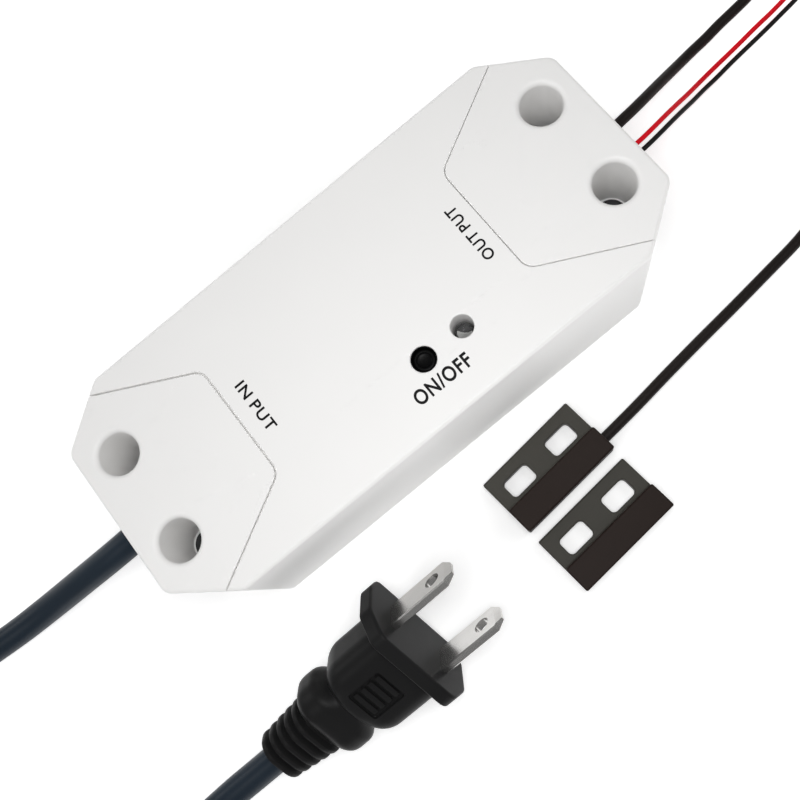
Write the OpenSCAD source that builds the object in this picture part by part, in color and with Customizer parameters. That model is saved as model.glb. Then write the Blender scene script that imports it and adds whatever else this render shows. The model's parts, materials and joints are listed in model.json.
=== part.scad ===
// Garage door controller: a white in-line relay box with a mains lead and plug, a wired door sensor
// with its magnet, and a pair of output wires. Millimetres, +Z up. The origin is the middle of the
// back face, and +X runs from the input end to the output end.

/* [Case] */
// Length of the case over its end faces
case_l = 110; // [106:1:120]
// Width of the case over its long sides
case_w = 47; // [45:0.5:52]
// Height of the case
case_h = 30; // [29:0.5:36]
// Width of each end face between its tapers
end_w = 30.5; // [29:0.5:33]
// Length of each corner taper along the case
taper_l = 11.5; // [9:0.5:13]
// Radius of the upright corners
corner_r = 2.5; // [1:0.25:4]
// Bevel round the top edge
edge_bevel = 0.8; // [0.2:0.1:1.4]
// Thickness of the side walls
wall = 2; // [1.4:0.1:2.2]
// Thickness of the top
top_t = 2; // [1.4:0.1:3]
// Thickness of the base plate
base_t = 2.5; // [1.5:0.1:3.2]
// Gap between the base plate and the walls round it
base_fit = 0.15; // [0.05:0.05:0.4]

/* [End covers] */
// Length of an end cover from the end face to its seam
cover_l = 28; // [24:0.5:32]
// Width of the straight part of the seam
seam_w = 23; // [20:0.5:26]
// Distance from the end face to where the slanted seam meets the taper
shoulder_l = 9; // [7.5:0.25:10.5]
// Radius of the seam's two corners
seam_r = 3; // [1:0.25:4]
// Height of an end cover's skirt
skirt_h = 8; // [6:0.25:9]
// Width of the seam
seam_gap = 0.3; // [0.1:0.05:0.6]

/* [Screw wells] */
// Bore of a well
well_d = 7.6; // [6.4:0.1:8]
// Wall of a well
well_wall = 1.2; // [0.8:0.1:1.4]
// Depth of a well down to its screw seat
well_depth = 17; // [14:0.5:18]
// Thickness of a well's floor
well_floor = 1.5; // [1:0.1:2.5]
// Gap between a well and the end wall
well_gap = 0.3; // [0.2:0.05:0.6]
// Distance between the two wells of one end
well_pitch = 19.2; // [19:0.1:20]
// Thread diameter of a cover screw
screw_d = 3; // [2.5:0.1:3.5]
// Head diameter of a cover screw
screw_head_d = 5.6; // [4.5:0.1:6]
// Head height of a cover screw
screw_head_h = 2; // [1.4:0.1:2.6]
// Gap between a cover screw's tip and the floor of its bore
screw_tip_gap = 0.5; // [0.2:0.1:1.5]
// Outer diameter of the base's screw bosses
boss_d = 7; // [5.5:0.1:7.4]
// Gap round every screw thread and every piece seated in a hole
seat_fit = 0.05; // [0.02:0.01:0.1]

/* [Button and lamp] */
// Place of the button along the case
button_x = 4; // [2:0.5:6]
// Place of the button across the case
button_y = -12.3; // [-14:0.1:-10]
// Hole for the button
button_hole_d = 4.6; // [4.4:0.1:5.4]
// Diameter of the button's cap
button_d = 4; // [3.2:0.1:4.1]
// Depth of the button's cap below the top
button_recess = 0.9; // [0.4:0.1:1.5]
// Height of the button's cap
button_cap_h = 5; // [3.5:0.1:5.4]
// Diameter of the button's stem
button_stem_d = 2.4; // [1.8:0.1:3]
// Diameter of the collar that keeps the button in its guide
button_collar_d = 5.6; // [5.5:0.1:6.2]
// Place of the lamp along the case
lamp_x = 12.5; // [11.5:0.5:13.5]
// Place of the lamp across the case
lamp_y = -12.1; // [-14:0.1:-10]
// Hole for the lamp
lamp_hole_d = 4.1; // [4:0.1:5]
// Diameter of the lamp's lens
lamp_d = 3; // [2.4:0.1:3.4]
// Depth of the lens below the top
lamp_recess = 1.3; // [0.5:0.1:2]
// Wall of the guides below the two holes
guide_wall = 1.1; // [0.8:0.1:1.4]
// Length of the guides below the top
guide_l = 5; // [4:0.25:6]

/* [Board] */
// Distance from an end face to the circuit board
board_end = 18.5; // [18:0.25:19.5]
// Gap between the circuit board and a side wall
board_side = 1.5; // [1:0.25:2]
// Thickness of the circuit board
board_t = 1.6; // [1:0.1:2]
// Height of the board's posts on the base
post_h = 3.5; // [3:0.1:4]
// Diameter of the board's posts
post_d = 5; // [4:0.1:5.5]
// Thread diameter of a board screw
board_screw_d = 2.5; // [2:0.1:2.8]
// Pitch of the terminals
pole_pitch = 5.08; // [4.8:0.02:5.2]
// Depth of a terminal block along the case
terminal_l = 9; // [8:0.25:9.5]
// Height of a terminal block
terminal_h = 10; // [9:0.25:11]
// Length, width and height of the relay
relay_size = [19, 15.5, 15.3];
// Travel of the button and its switch
button_travel = 0.5; // [0.2:0.1:0.8]

/* [Mains lead and plug] */
// Diameter of the mains lead
lead_d = 5.7; // [5:0.1:6]
// Height of the mains lead where it leaves the case
lead_z = 13; // [12:0.25:14]
// Turns of the put-away mains lead
lead_turns = 4.5; // [2.5:1:4.5]
// Blade spacing of the plug
blade_pitch = 12.7; // [12:0.1:13]
// Length of the plug's blades out of its face
blade_l = 14.25; // [13:0.25:18]
// Height of a blade
blade_h = 6.35; // [5.5:0.05:7]
// Thickness of a blade
blade_t = 1.5; // [1.2:0.1:2]
// Width of the plug's flange
plug_w = 24; // [23:0.5:28]
// Thickness of the plug's flange from its label side to its back
plug_h = 16.6; // [15.6:0.2:18]
// Length of the plug from its face to the end of its strain relief
plug_l = 35.5; // [34:0.5:40]

/* [Sensor and magnet] */
// Length of the sensor block and of the magnet block
sensor_l = 22.4; // [21:0.2:25]
// Width of each block over its flange
sensor_w = 12.6; // [12.6:0.2:13.4]
// Height of the raised half of each block
sensor_h = 5.2; // [5:0.2:7]
// Thickness of the flange
flange_t = 2.5; // [1.5:0.1:3]
// Width of the raised half
raised_w = 5.5; // [5.4:0.1:6.2]
// Length of a fixing slot
slot_l = 6; // [4.5:0.1:6.5]
// Width of a fixing slot
slot_w = 3.7; // [2.8:0.1:4]
// Distance between the two slots
slot_pitch = 11; // [10:0.1:12]
// Diameter of the sensor cable
cable_d = 2.1; // [1.8:0.1:2.2]
// Turns of the put-away sensor cable
cable_turns = 10.5; // [4.5:2:10.5]

/* [Output wires] */
// Diameter of each output wire
wire_d = 0.95; // [0.8:0.05:1]
// Drop from an end cover's skirt to the sensor cable and the wires where they leave the case
wire_drop = 9; // [8.5:0.1:9.5]
// Turns of each put-away wire
wire_turns = 5; // [3:1:6]
// Length of each stripped wire end
tip_l = 6; // [3:0.5:7]

/* [Hidden] */
$fn = 48;
cover_white = [0.91, 0.905, 0.9];
black = [0.1, 0.1, 0.11];
navy = [0.11, 0.12, 0.15];
sensor_grey = [0.23, 0.22, 0.21];
resin = [0.12, 0.1, 0.1];
nickel = [0.78, 0.78, 0.77];
board_green = [0.1, 0.34, 0.2];
terminal_green = [0.16, 0.46, 0.3];
wire_red = [0.82, 0.1, 0.14];

end_x = case_l / 2;
seat_z = case_h - well_depth;
well_y = well_pitch / 2;
well_r = well_d / 2 + well_wall;
well_x = end_x - wall - well_gap - well_r;
screw_l = seat_z - base_t - screw_tip_gap;
boss_top = seat_z - well_floor;
seam_x = end_x - cover_l;
shoulder_x = end_x - shoulder_l;
shoulder_y = end_w / 2 + (case_w - end_w) / 2 * shoulder_l / taper_l;
skirt_z = case_h - skirt_h;
ceiling_z = case_h - top_t;
guide_z = ceiling_z - guide_l;
wall_lift = 0.2;
cut_over = 1;

// Board, terminals and relay
board_l = case_l - 2 * board_end;
board_w = case_w - 2 * wall - 2 * board_side;
board_z = base_t + post_h;
board_top = board_z + board_t;
post_x = board_l / 2 - 3;
post_y = board_w / 2 - 2.7;
terminal_gap = 1;
input_terminal_x = -board_l / 2 + terminal_gap;
output_terminal_x = board_l / 2 - terminal_gap - terminal_l;
output_poles = 4;
input_poles = 2;
board_screw_head_d = 1.9 * board_screw_d;
clear = 0.3;
output_terminal_y = post_y - board_screw_head_d / 2 - clear - output_poles * pole_pitch / 2;
terminal_face_x = output_terminal_x + terminal_l;
entry_z = board_top + 3.2;
entry_r = 1.3;
terminal_screw_z = entry_z + entry_r + 0.5;
terminal_screw_d = 3.8;
relay_x = 1;
relay_y = 3;
relay_base_h = 2.2;
relay_skin = 0.8;
relay_floor = board_top + relay_base_h;
coil_x = relay_x + 7.5;
coil_y = relay_y + relay_size.y / 2;
yoke_t = 1;
yoke_x = relay_x + 13.5;
coil_h = 7;
core_d = 3.2;
pole_z = relay_floor + yoke_t + coil_h + 0.5;
pole_gap = 0.8;
pivot_gap = 0.1;
armature_z = pole_z + pole_gap;
armature_t = 1;
armature_w = 6;
contact_top = armature_z - 1.2;

// Parts that stand on the board: sizes and places
power_size = [20, 19, 15];
power_place = [-10.5, 10];
capacitor_d = 8;
capacitor_h = 12;
capacitor_place = [-6.5, -9];
fuse_d = 5;
fuse_l = 11;
fuse_cap_l = 2.2;
fuse_place = [-25, -9.5];
varistor_d = 8;
varistor_t = 3.5;
varistor_place = [-13.5, -16.5];
radio_size = [10, 13, 0.8];
radio_x = post_x - post_d / 2 - clear - radio_size.x;
radio_y = output_terminal_y - output_poles * pole_pitch / 2 - clear - radio_size.y;
shield_size = [8, 9, 2];
shield_inset = 1;

// Switch, button and lamp
switch_w = 6;
switch_h = 3.5;
plunger_d = 3.4;
plunger_top = board_top + 5;
plunger_bottom = board_top + 2.2;
cap_top = case_h - button_recess;
cap_bottom = cap_top - button_cap_h;
collar_gap = 0.1;
collar_h = 1.5;
lamp_top = case_h - lamp_recess;
lamp_flange_d = lamp_hole_d - 0.3;
lamp_base_z = lamp_top - 4.6;
lamp_lead_gap = 2.54;

// Grommets, clamp and cords held inside
lip_t = 1.2;
lip = 1;
grommet_d = lead_d + 3.5;
lead_face_x = -end_x - lip_t;
lead_y = 1.2;
clamp_l = 3.5;
clamp_board_gap = 2;
clamp_x = -board_l / 2 - clamp_board_gap - clamp_l / 2;
clamp_w = 17;
clamp_h = 4.4;
clamp_gap = 0.1;
clamp_screw_d = 2;
clamp_screw_y = lead_d / 2 + 2.8;
stub_end_x = clamp_x + clamp_l / 2 + 0.5;
core_wire_d = 2.1;
wire_face_x = end_x + lip_t;
wire_z = skirt_z - wire_drop;
cable_y = 3.2;
red_y = -1.8;
black_y = -3.6;
bend_x = terminal_face_x + 5.5;
output_grommet = [9.8, 5];
output_grommet_y = 0.2;
output_pole_y = [for (k = [0:output_poles - 1])
    output_terminal_y + (k - (output_poles - 1) / 2) * pole_pitch];
cable_core_d = 0.8;

// Coils of the put-away cords: centre, outer radius, layers, start angle and sense of turning
turn_gap = 0.6;
tie_t = 0.8;
tie_gap = 0.3;
tie_w = 6;
lead_coil = [-165, -25];
lead_coil_r = 39.5;
lead_pitch_r = lead_d + turn_gap;
cable_coil = [150, 14.1];
cable_coil_r = 15.8;
cable_pitch_r = cable_d + turn_gap - 0.1;
red_coil = [122, 19];
black_coil = [122, 0.5];
wire_coil_r = 7.4;
wire_pitch_r = wire_d + turn_gap - 0.1;
wire_tie_t = 0.5;
wire_tie_w = 2.5;
lead_layers = 2;
cable_layers = 4;
wire_layers = 2;

// Plug: it lies on a corner of its flange and on its strain relief, rolled to one side
plug_face = [-28.1, -46.9];
plug_roll = 30;
flange_l = 2.8;
flange_label_corner = 8.9;
flange_back_corner = 10.4;
flange_end = [-4.5, 3.1];
relief = [10, 8.4];
relief_r = 3.7;
relief_start = [11.8, 9.6];
relief_start_r = 4.2;
relief_ribs = 5;
relief_l = 11.1;
rib_depth = 1.1;
rib_share = 0.55;
bulb_l = 7.9;
bulb = [15.2, 11.6];
bulb_r = 4.8;
// Outline of the bulb: share of its length, and depth below its full size
bulb_shape = [
    [0, 1.6], [0.06, 1.5], [0.12, 0.7], [0.2, 0.2], [0.3, 0], [0.66, 0], [0.78, 0.2], [0.9, 0.9], [1, 2]
];
neck = [12.2, 10.6];
neck_r = 4.6;
grip = [17.1, 12.4];
grip_r = 3.6;
grip_l = 9.4;
plug_shoulder = plug_l - relief_l - bulb_l - flange_l - grip_l;
shoulder_steps = 4;
slice_t = 0.1;
blade_root = 8;
blade_hole_d = 3.1;
label = [7.5, 6.9, 0.8];
label_x = -10.4;
label_bars = 4;
label_bar = [1.1, 5.4];
label_bar_pitch = 1.75;
flange_drop = flange_back_corner * sin(plug_roll) + plug_h / 2 * cos(plug_roll);
relief_flat = relief / 2 - relief_r * [1, 1];
relief_drop = relief_flat.x * sin(plug_roll) + relief_flat.y * cos(plug_roll) + relief_r;
plug_pitch = atan((flange_drop - relief_drop) / (plug_l - flange_l));
plug_z = flange_drop * cos(plug_pitch) + flange_l * sin(plug_pitch);
plug_axis = [cos(plug_pitch), 0, sin(plug_pitch)];
relief_end = [plug_face.x, plug_face.y, plug_z] - plug_l * plug_axis;

// Sensor and magnet blocks
block_turn = 5.8;
sensor_place = [9.7, -36.7, 0];
magnet_place = [11, -51.5, 0];
slot_r = 0.9;
raised_to_slot = 2.75;
slot_y = -sensor_w / 2 + raised_w + raised_to_slot;
raised_y = -sensor_w / 2 + raised_w / 2;
block_skin = 0.8;
potting = [sensor_l - 2 * block_skin, raised_w - 2 * block_skin, sensor_h - block_skin];
reed_d = 1.8;
reed_l = 10;
reed_lead_d = 0.5;
reed_z = 2.4;
magnet_bar_size = [16, 3, 3];
cable_turn_dir = [cos(block_turn), sin(block_turn), 0];
cable_end = sensor_place + turned([sensor_l / 2, raised_y, cable_d / 2], block_turn);

// Routes of the cords between the case, their coils, the plug and the sensor
lead_case_points = [
    [-64, 1.3, 12.1], [-74, 2.5, 8.4], [-84, 3.8, 4.5], [-94, 4.6, 2.9], [-106, 5.8, 2.9],
    [-120, 8.6, 3], [-134, 11.8, 3.4], [-147, 14, 3.8]
];
lead_plug_points = [
    [-148, -64.3, 9.2], [-134, -63, 6.4], [-120, -60, 3.8], [-107, -55.2, 2.9], [-95, -50.4, 2.9],
    [-84, -47.7, 2.9], [-76, -47, 2.9], [-69.5, -46.9, 3.3]
];
cable_case_points = [
    [61.5, 3.8, 12.6], [65, 4.3, 11.8], [69, 5.2, 10.1], [73, 6.3, 7.8], [77, 7.4, 5.4], [81, 8.4, 3.3],
    [85, 9.2, 1.9], [89, 9.7, 1.2], [93, 10.2, 1.1], [97, 10.5, 1.1], [101, 10.9, 1.1], [104.5, 11.7, 1.1],
    [107.5, 13.7, 1.1], [109.7, 16.9, 1.1], [111.3, 20.6, 1.1], [113.6, 24.6, 1.1], [117, 28, 1.2],
    [122, 29.7, 1.4], [130, 29.9, 1.7], [139, 29.9, 2]
];
cable_sensor_points = [
    [142, -2.2, 9], [136, -4.4, 6.6], [130, -7.7, 4], [124, -11.5, 2], [117, -15.2, 1.1],
    [110, -18.7, 1.1], [103, -22, 1.1], [95, -25.6, 1.1], [88, -28.7, 1.1], [81, -31.5, 1.1],
    [74, -33.2, 1.1], [65, -34.3, 1.1], [56, -35.3, 1.1], [47, -36.2, 1.1], [38, -37.2, 1.1],
    [30, -38.2, 1.1]
];
red_points = [
    [61.5, -1.5, 12.6], [65, -1, 11.8], [69, -0.1, 10], [73, 0.9, 7.6], [77, 1.9, 5], [81, 2.9, 2.8],
    [85, 3.7, 1.3], [89, 4.2, 0.7], [93, 4.6, 0.5], [98, 5.1, 0.5], [103, 5.5, 0.5], [108, 6.3, 0.5],
    [111.5, 8, 0.5], [114.5, 9.7, 0.6], [118, 11, 0.9]
];
black_points = [
    [61.5, -3.2, 12.6], [65, -2.7, 11.8], [69, -1.8, 10], [73, -0.8, 7.6], [77, 0.2, 5], [81, 1.2, 2.8],
    [85, 1.9, 1.3], [89, 2.5, 0.7], [93, 2.9, 0.5], [98, 3.3, 0.5], [103, 3.8, 0.5], [108.5, 4.5, 0.5],
    [111.5, 5.9, 0.5], [114.5, 7.7, 0.6], [118, 8.2, 0.9]
];
// Bend of a wire down into its terminal: distance from the terminal's face, and share of the drop left
drop_bend = [[4.3, 0.92], [3.1, 0.56], [2.1, 0.17], [0.9, 0]];

// Plane geometry
function unit(v) = v / norm(v);
function turned(p, a) = [p.x * cos(a) - p.y * sin(a), p.x * sin(a) + p.y * cos(a), p.z];
function wrapped(a) = a > 180 ? a - 360 : a < -180 ? a + 360 : a;

// Arc of radius r that rounds the corner q between p and s
function corner_arc(p, q, s, r, steps = 6) =
    let (
        u = unit(p - q),
        v = unit(s - q),
        half = acos(u * v) / 2,
        c = q + unit(u + v) * r / sin(half),
        from = q + u * r / tan(half) - c,
        to = q + v * r / tan(half) - c,
        a = atan2(from.y, from.x),
        sweep = wrapped(atan2(to.y, to.x) - a)
    )
    [for (i = [0:steps]) c + r * [cos(a + sweep * i / steps), sin(a + sweep * i / steps)]];

function rounded(points, r) =
    let (n = len(points))
    [for (i = [0:n - 1])
        each corner_arc(points[(i + n - 1) % n], points[i], points[(i + 1) % n], r)];

// Outline of the case drawn in by a distance
function case_corners(inset) =
    let (
        rise = (case_w - end_w) / 2,
        n = unit([rise, taper_l]),
        c = n * [end_x, end_w / 2] - inset,
        x = end_x - inset,
        y = case_w / 2 - inset,
        end_y = (c - n.x * x) / n.y,
        side_x = (c - n.y * y) / n.x
    )
    [[x, -end_y], [x, end_y], [side_x, y], [-side_x, y], [-x, end_y], [-x, -end_y],
        [-side_x, -y], [side_x, -y]];

function case_outline(inset) = rounded(case_corners(inset), max(corner_r - inset, 0.4));

// Outline of the output end cover, past the case at its outer end, drawn in by a distance
function cover_outline(inset) =
    let (
        b = [seam_x, seam_w / 2],
        u = unit([shoulder_x, shoulder_y] - b),
        n = [u.y, -u.x],
        s = inset * (1 - n.x) / u.x,
        corner = b + n * inset + u * s,
        far = corner + u * (cover_l + 2 * taper_l),
        lower = [corner.x, -corner.y]
    )
    concat(
        [[far.x, -far.y]],
        corner_arc([far.x, -far.y], lower, corner, seam_r),
        corner_arc(lower, corner, far, seam_r),
        [far]
    );

function rounded_rect(size, r) =
    rounded([[-size.x, -size.y] / 2, [size.x, -size.y] / 2, [size.x, size.y] / 2,
        [-size.x, size.y] / 2], r);

// Swept tubes
function ring(c, t, r, sides) =
    let (s = unit(cross(t, [0, 0, 1])), u = cross(s, t))
    [for (k = [0:sides - 1]) c + r * (cos(360 * k / sides) * s + sin(360 * k / sides) * u)];

module tube(path, d, sides, from, to) {
    last = len(path) - 1;
    dirs = [for (i = [0:last]) i == 0 ? from : i == last ? to : unit(path[i + 1] - path[i - 1])];
    points = [for (i = [0:last]) each ring(path[i], dirs[i], d / 2, sides)];
    skin = [for (i = [0:last - 1], k = [0:sides - 1])
        let (a = i * sides + k, b = i * sides + (k + 1) % sides)
        each [[a, b, b + sides], [a, b + sides, a + sides]]];
    near_cap = [for (k = [1:sides - 2]) [0, k + 1, k]];
    far_cap = [for (k = [1:sides - 2]) [last * sides, last * sides + k, last * sides + k + 1]];
    polyhedron(points, concat(near_cap, skin, far_cap), convexity = 10);
}

// Piled loops: they spiral in and out at a steady rate and climb a layer where the spiral reverses
coil_steps = 24;
function coil_points(centre, r_out, turns, layers, pitch, z, a0, sense) =
    let (per_layer = turns / layers)
    [for (i = [0:turns * coil_steps])
        let (
            u = i / coil_steps,
            k = min(floor(u / per_layer), layers - 1),
            f = u - k * per_layer,
            r = r_out - pitch * (k % 2 == 0 ? f : per_layer - f),
            a = a0 + sense * 360 * u,
            climbs = [for (j = [1:layers - 1]) max(0, min(1, (u - j * per_layer) / 0.5 + 0.5))],
            ones = [for (j = [1:layers - 1]) 1]
        )
        [centre.x + r * cos(a), centre.y + r * sin(a), z + pitch * (climbs * ones)]];

function coil_dir(a, sense) = sense * [-sin(a), cos(a), 0];

// Coil with a straight end of one diameter at each side
function coil_route(centre, r_out, turns, layers, pitch, z, a0, sense, d) =
    let (
        loops = coil_points(centre, r_out, turns, layers, pitch, z, a0, sense),
        from = coil_dir(a0, sense),
        to = coil_dir(a0 + sense * 360 * turns, sense)
    )
    concat([loops[0] - d * from], loops, [loops[len(loops) - 1] + d * to]);

function least_gap(path, d) =
    min([for (i = [0:len(path) - 1], j = [i + coil_steps / 2:1:len(path) - 1]) norm(path[i] - path[j])]) - d;

module wound(name, path, d) {
    last = len(path) - 1;
    echo(str(name, " least gap to itself: ", least_gap(path, d), " mm"));
    tube(path, d, 6, unit(path[1] - path[0]), unit(path[last] - path[last - 1]));
}

function coil_z(d, t) = t + tie_gap + d / 2;
lead_route = coil_route(lead_coil, lead_coil_r, lead_turns, lead_layers, lead_pitch_r,
    coil_z(lead_d, tie_t), 90, 1, lead_d);
cable_route = coil_route(cable_coil, cable_coil_r, cable_turns, cable_layers, cable_pitch_r,
    coil_z(cable_d, tie_t), 90, -1, cable_d);
red_route = coil_route(red_coil, wire_coil_r, wire_turns, wire_layers, wire_pitch_r,
    coil_z(wire_d, wire_tie_t), -90, 1, wire_d);
black_route = coil_route(black_coil, wire_coil_r, wire_turns, wire_layers, wire_pitch_r,
    coil_z(wire_d, wire_tie_t), 90, -1, wire_d);

// Flat band round one side of a coil, at an angle of its ring
module coil_tie(centre, r_out, turns, layers, pitch, d, t, w, angle) {
    depth = pitch * turns / layers + d + 2 * tie_gap;
    height = pitch * (layers - 1) + d + 2 * tie_gap;
    translate([centre.x, centre.y, 0]) rotate([0, 0, angle])
        translate([r_out + d / 2 + tie_gap - depth, -w / 2, 0]) difference() {
            translate([-t, 0, 0]) cube([depth + 2 * t, w, height + 2 * t]);
            translate([0, -cut_over, t]) cube([depth, w + 2 * cut_over, height]);
        }
}

// Case
module case_block(inset = 0, top = case_h) {
    hull() {
        linear_extrude(top - edge_bevel) polygon(case_outline(inset));
        linear_extrude(top) polygon(case_outline(inset + edge_bevel));
    }
}

module case_hollow() {
    translate([0, 0, -cut_over]) linear_extrude(ceiling_z + cut_over) polygon(case_outline(wall));
}

module at_wells(side) {
    for (s = [-1, 1]) translate([side * well_x, s * well_y, 0]) children();
}

module along_x(x, y, z) {
    translate([x, y, z]) rotate([0, 90, 0]) children();
}

module end_slab(side, inset) {
    mirror([side > 0 ? 0 : 1, 0, 0]) translate([0, 0, skirt_z])
        linear_extrude(skirt_h + cut_over) polygon(cover_outline(inset));
}

module guide(x, y, hole_d) {
    translate([x, y, guide_z]) cylinder(d = hole_d + 2 * guide_wall, h = guide_l + cut_over / 2);
}

module guide_hole(x, y, hole_d) {
    translate([x, y, guide_z - cut_over]) cylinder(d = hole_d, h = case_h - guide_z + 2 * cut_over);
}

module main_cover() {
    color(cover_white) difference() {
        union() {
            difference() {
                case_block();
                case_hollow();
            }
            guide(button_x, button_y, button_hole_d);
            guide(lamp_x, lamp_y, lamp_hole_d);
        }
        end_slab(1, 0);
        end_slab(-1, 0);
        guide_hole(button_x, button_y, button_hole_d);
        guide_hole(lamp_x, lamp_y, lamp_hole_d);
        along_x(-end_x - cut_over, lead_y, lead_z) cylinder(d = grommet_d, h = wall + 2 * cut_over);
        translate([end_x - wall - cut_over, output_grommet_y, wire_z]) rotate([90, 0, 90])
            linear_extrude(wall + 2 * cut_over) polygon(rounded_rect(output_grommet, 1));
        translate([-case_l, -case_w, -case_h]) cube([2 * case_l, 2 * case_w, case_h + wall_lift]);
    }
}

module end_cover(side) {
    color(cover_white) difference() {
        union() {
            intersection() {
                difference() {
                    case_block();
                    case_hollow();
                }
                end_slab(side, seam_gap);
            }
            at_wells(side) translate([0, 0, boss_top])
                cylinder(r = well_r, h = ceiling_z - boss_top + cut_over / 2);
        }
        at_wells(side) translate([0, 0, seat_z]) cylinder(d = well_d, h = well_depth + cut_over);
        at_wells(side) translate([0, 0, boss_top - cut_over])
            cylinder(d = screw_d + 0.4, h = well_floor + 2 * cut_over);
    }
}

module input_end_cover() {
    end_cover(-1);
}

module output_end_cover() {
    end_cover(1);
}

module at_posts() {
    for (sx = [-1, 1], sy = [-1, 1]) translate([sx * post_x, sy * post_y, 0]) children();
}

module clamp_screw_places() {
    for (s = [-1, 1]) translate([clamp_x, lead_y + s * clamp_screw_y, 0]) children();
}

module base_plate() {
    saddle_top = lead_z - clamp_gap;
    color(cover_white) difference() {
        union() {
            linear_extrude(base_t) polygon(case_outline(wall + base_fit));
            for (side = [-1, 1]) at_wells(side) cylinder(d = boss_d, h = boss_top);
            at_posts() cylinder(d = post_d, h = board_z);
            translate([clamp_x - clamp_l / 2, lead_y - clamp_w / 2, 0]) cube([clamp_l, clamp_w, saddle_top]);
        }
        for (side = [-1, 1]) at_wells(side) translate([0, 0, base_t])
            cylinder(d = screw_d + 2 * seat_fit, h = case_h);
        at_posts() translate([0, 0, base_t - 1]) cylinder(d = board_screw_d + 2 * seat_fit, h = case_h);
        along_x(clamp_x - clamp_l, lead_y, lead_z) cylinder(d = lead_d + 2 * seat_fit, h = 2 * clamp_l);
        clamp_screw_places() translate([0, 0, base_t + 1])
            cylinder(d = clamp_screw_d + 2 * seat_fit, h = case_h);
    }
}

// Round-headed screw with its seat at z = 0 and a cross recess
module screw(d, length, head_d, head_h) {
    slot = head_d * 0.6;
    difference() {
        union() {
            translate([0, 0, -length]) cylinder(d = d, h = length + 0.01);
            cylinder(d = head_d, h = head_h);
        }
        for (a = [0, 90]) rotate([0, 0, a]) translate([-slot / 2, -head_d / 14, head_h * 0.4])
            cube([slot, head_d / 7, head_h]);
    }
}

module cover_screws() {
    color("dimgray") for (side = [-1, 1]) at_wells(side) translate([0, 0, seat_z])
        screw(screw_d, screw_l, screw_head_d, screw_head_h);
}

// Board and what stands on it
module circuit_board() {
    color(board_green) difference() {
        translate([0, 0, board_z]) linear_extrude(board_t)
            polygon(rounded_rect([board_l, board_w], 1.5));
        at_posts() translate([0, 0, board_z - cut_over])
            cylinder(d = board_screw_d + 0.4, h = board_t + 2 * cut_over);
    }
}

module board_screws() {
    color("silver") at_posts() translate([0, 0, board_top])
        screw(board_screw_d, board_t + post_h - 0.6, board_screw_head_d, 1.6);
}

module terminal_block(poles) {
    width = poles * pole_pitch;
    difference() {
        translate([0, -width / 2, board_top]) cube([terminal_l, width, terminal_h]);
        for (k = [0:poles - 1]) translate([0, (k - (poles - 1) / 2) * pole_pitch, 0]) {
            along_x(-cut_over, 0, entry_z) cylinder(r = entry_r, h = terminal_l / 2 + cut_over);
            translate([terminal_l / 2, 0, terminal_screw_z])
                cylinder(d = terminal_screw_d + 2 * seat_fit, h = terminal_h);
        }
    }
}

module at_output_block() {
    translate([terminal_face_x, output_terminal_y, 0]) rotate([0, 0, 180]) children();
}

module input_terminal_block() {
    color(terminal_green) translate([input_terminal_x, 0, 0]) terminal_block(input_poles);
}

module output_terminal_block() {
    color(terminal_green) at_output_block() terminal_block(output_poles);
}

module terminal_screw_row(poles) {
    head_h = board_top + terminal_h - terminal_screw_z - 0.5;
    for (k = [0:poles - 1])
        translate([terminal_l / 2, (k - (poles - 1) / 2) * pole_pitch, terminal_screw_z])
            difference() {
                cylinder(d = terminal_screw_d, h = head_h);
                translate([-terminal_screw_d, -0.4, head_h - 1]) cube([2 * terminal_screw_d, 0.8, 2]);
            }
}

module terminal_screws() {
    color("silver") {
        translate([input_terminal_x, 0, 0]) terminal_screw_row(input_poles);
        at_output_block() terminal_screw_row(output_poles);
    }
}

module power_module() {
    color("black") translate([power_place.x, power_place.y, board_top]) linear_extrude(power_size.z)
        polygon(rounded_rect([power_size.x, power_size.y], 1));
}

module bulk_capacitor() {
    r = capacitor_d / 2;
    h = capacitor_h;
    color("navy") translate([capacitor_place.x, capacitor_place.y, board_top]) rotate_extrude()
        polygon([[0, 0], [r - 0.3, 0], [r, 0.4], [r, 1], [r - 0.2, 1.4], [r, 1.8], [r, h - 0.4],
            [r - 0.4, h], [r - 0.8, h], [r - 0.8, h - 0.3], [0, h - 0.3]]);
}

module fuse() {
    color("tan") along_x(fuse_place.x, fuse_place.y, board_top + fuse_d / 2 + clear) union() {
        cylinder(d = fuse_d, h = fuse_cap_l);
        cylinder(d = fuse_d - 0.4, h = fuse_l);
        translate([0, 0, fuse_l - fuse_cap_l]) cylinder(d = fuse_d, h = fuse_cap_l);
    }
}

module varistor() {
    color("steelblue") translate([varistor_place.x, varistor_place.y, board_top + varistor_d / 2 + clear])
        rotate([90, 0, 0]) cylinder(d = varistor_d, h = varistor_t, center = true);
}

module radio_board() {
    color("midnightblue") translate([radio_x, radio_y, board_top]) cube(radio_size);
}

module radio_shield() {
    color("silver") translate([radio_x + shield_inset, radio_y + shield_inset, board_top + radio_size.z])
        linear_extrude(shield_size.z)
            polygon([for (p = rounded_rect([shield_size.x, shield_size.y], 0.6))
                p + [shield_size.x, shield_size.y] / 2]);
}

module relay_base() {
    color("black") translate([relay_x, relay_y, board_top])
        cube([relay_size.x, relay_size.y, relay_base_h]);
}

module relay_cover() {
    height = relay_size.z - relay_base_h;
    color("cornflowerblue") translate([relay_x, relay_y, relay_floor]) difference() {
        cube([relay_size.x, relay_size.y, height]);
        translate([relay_skin, relay_skin, -cut_over])
            cube([relay_size.x - 2 * relay_skin, relay_size.y - 2 * relay_skin,
                height - relay_skin + cut_over]);
    }
}

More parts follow.
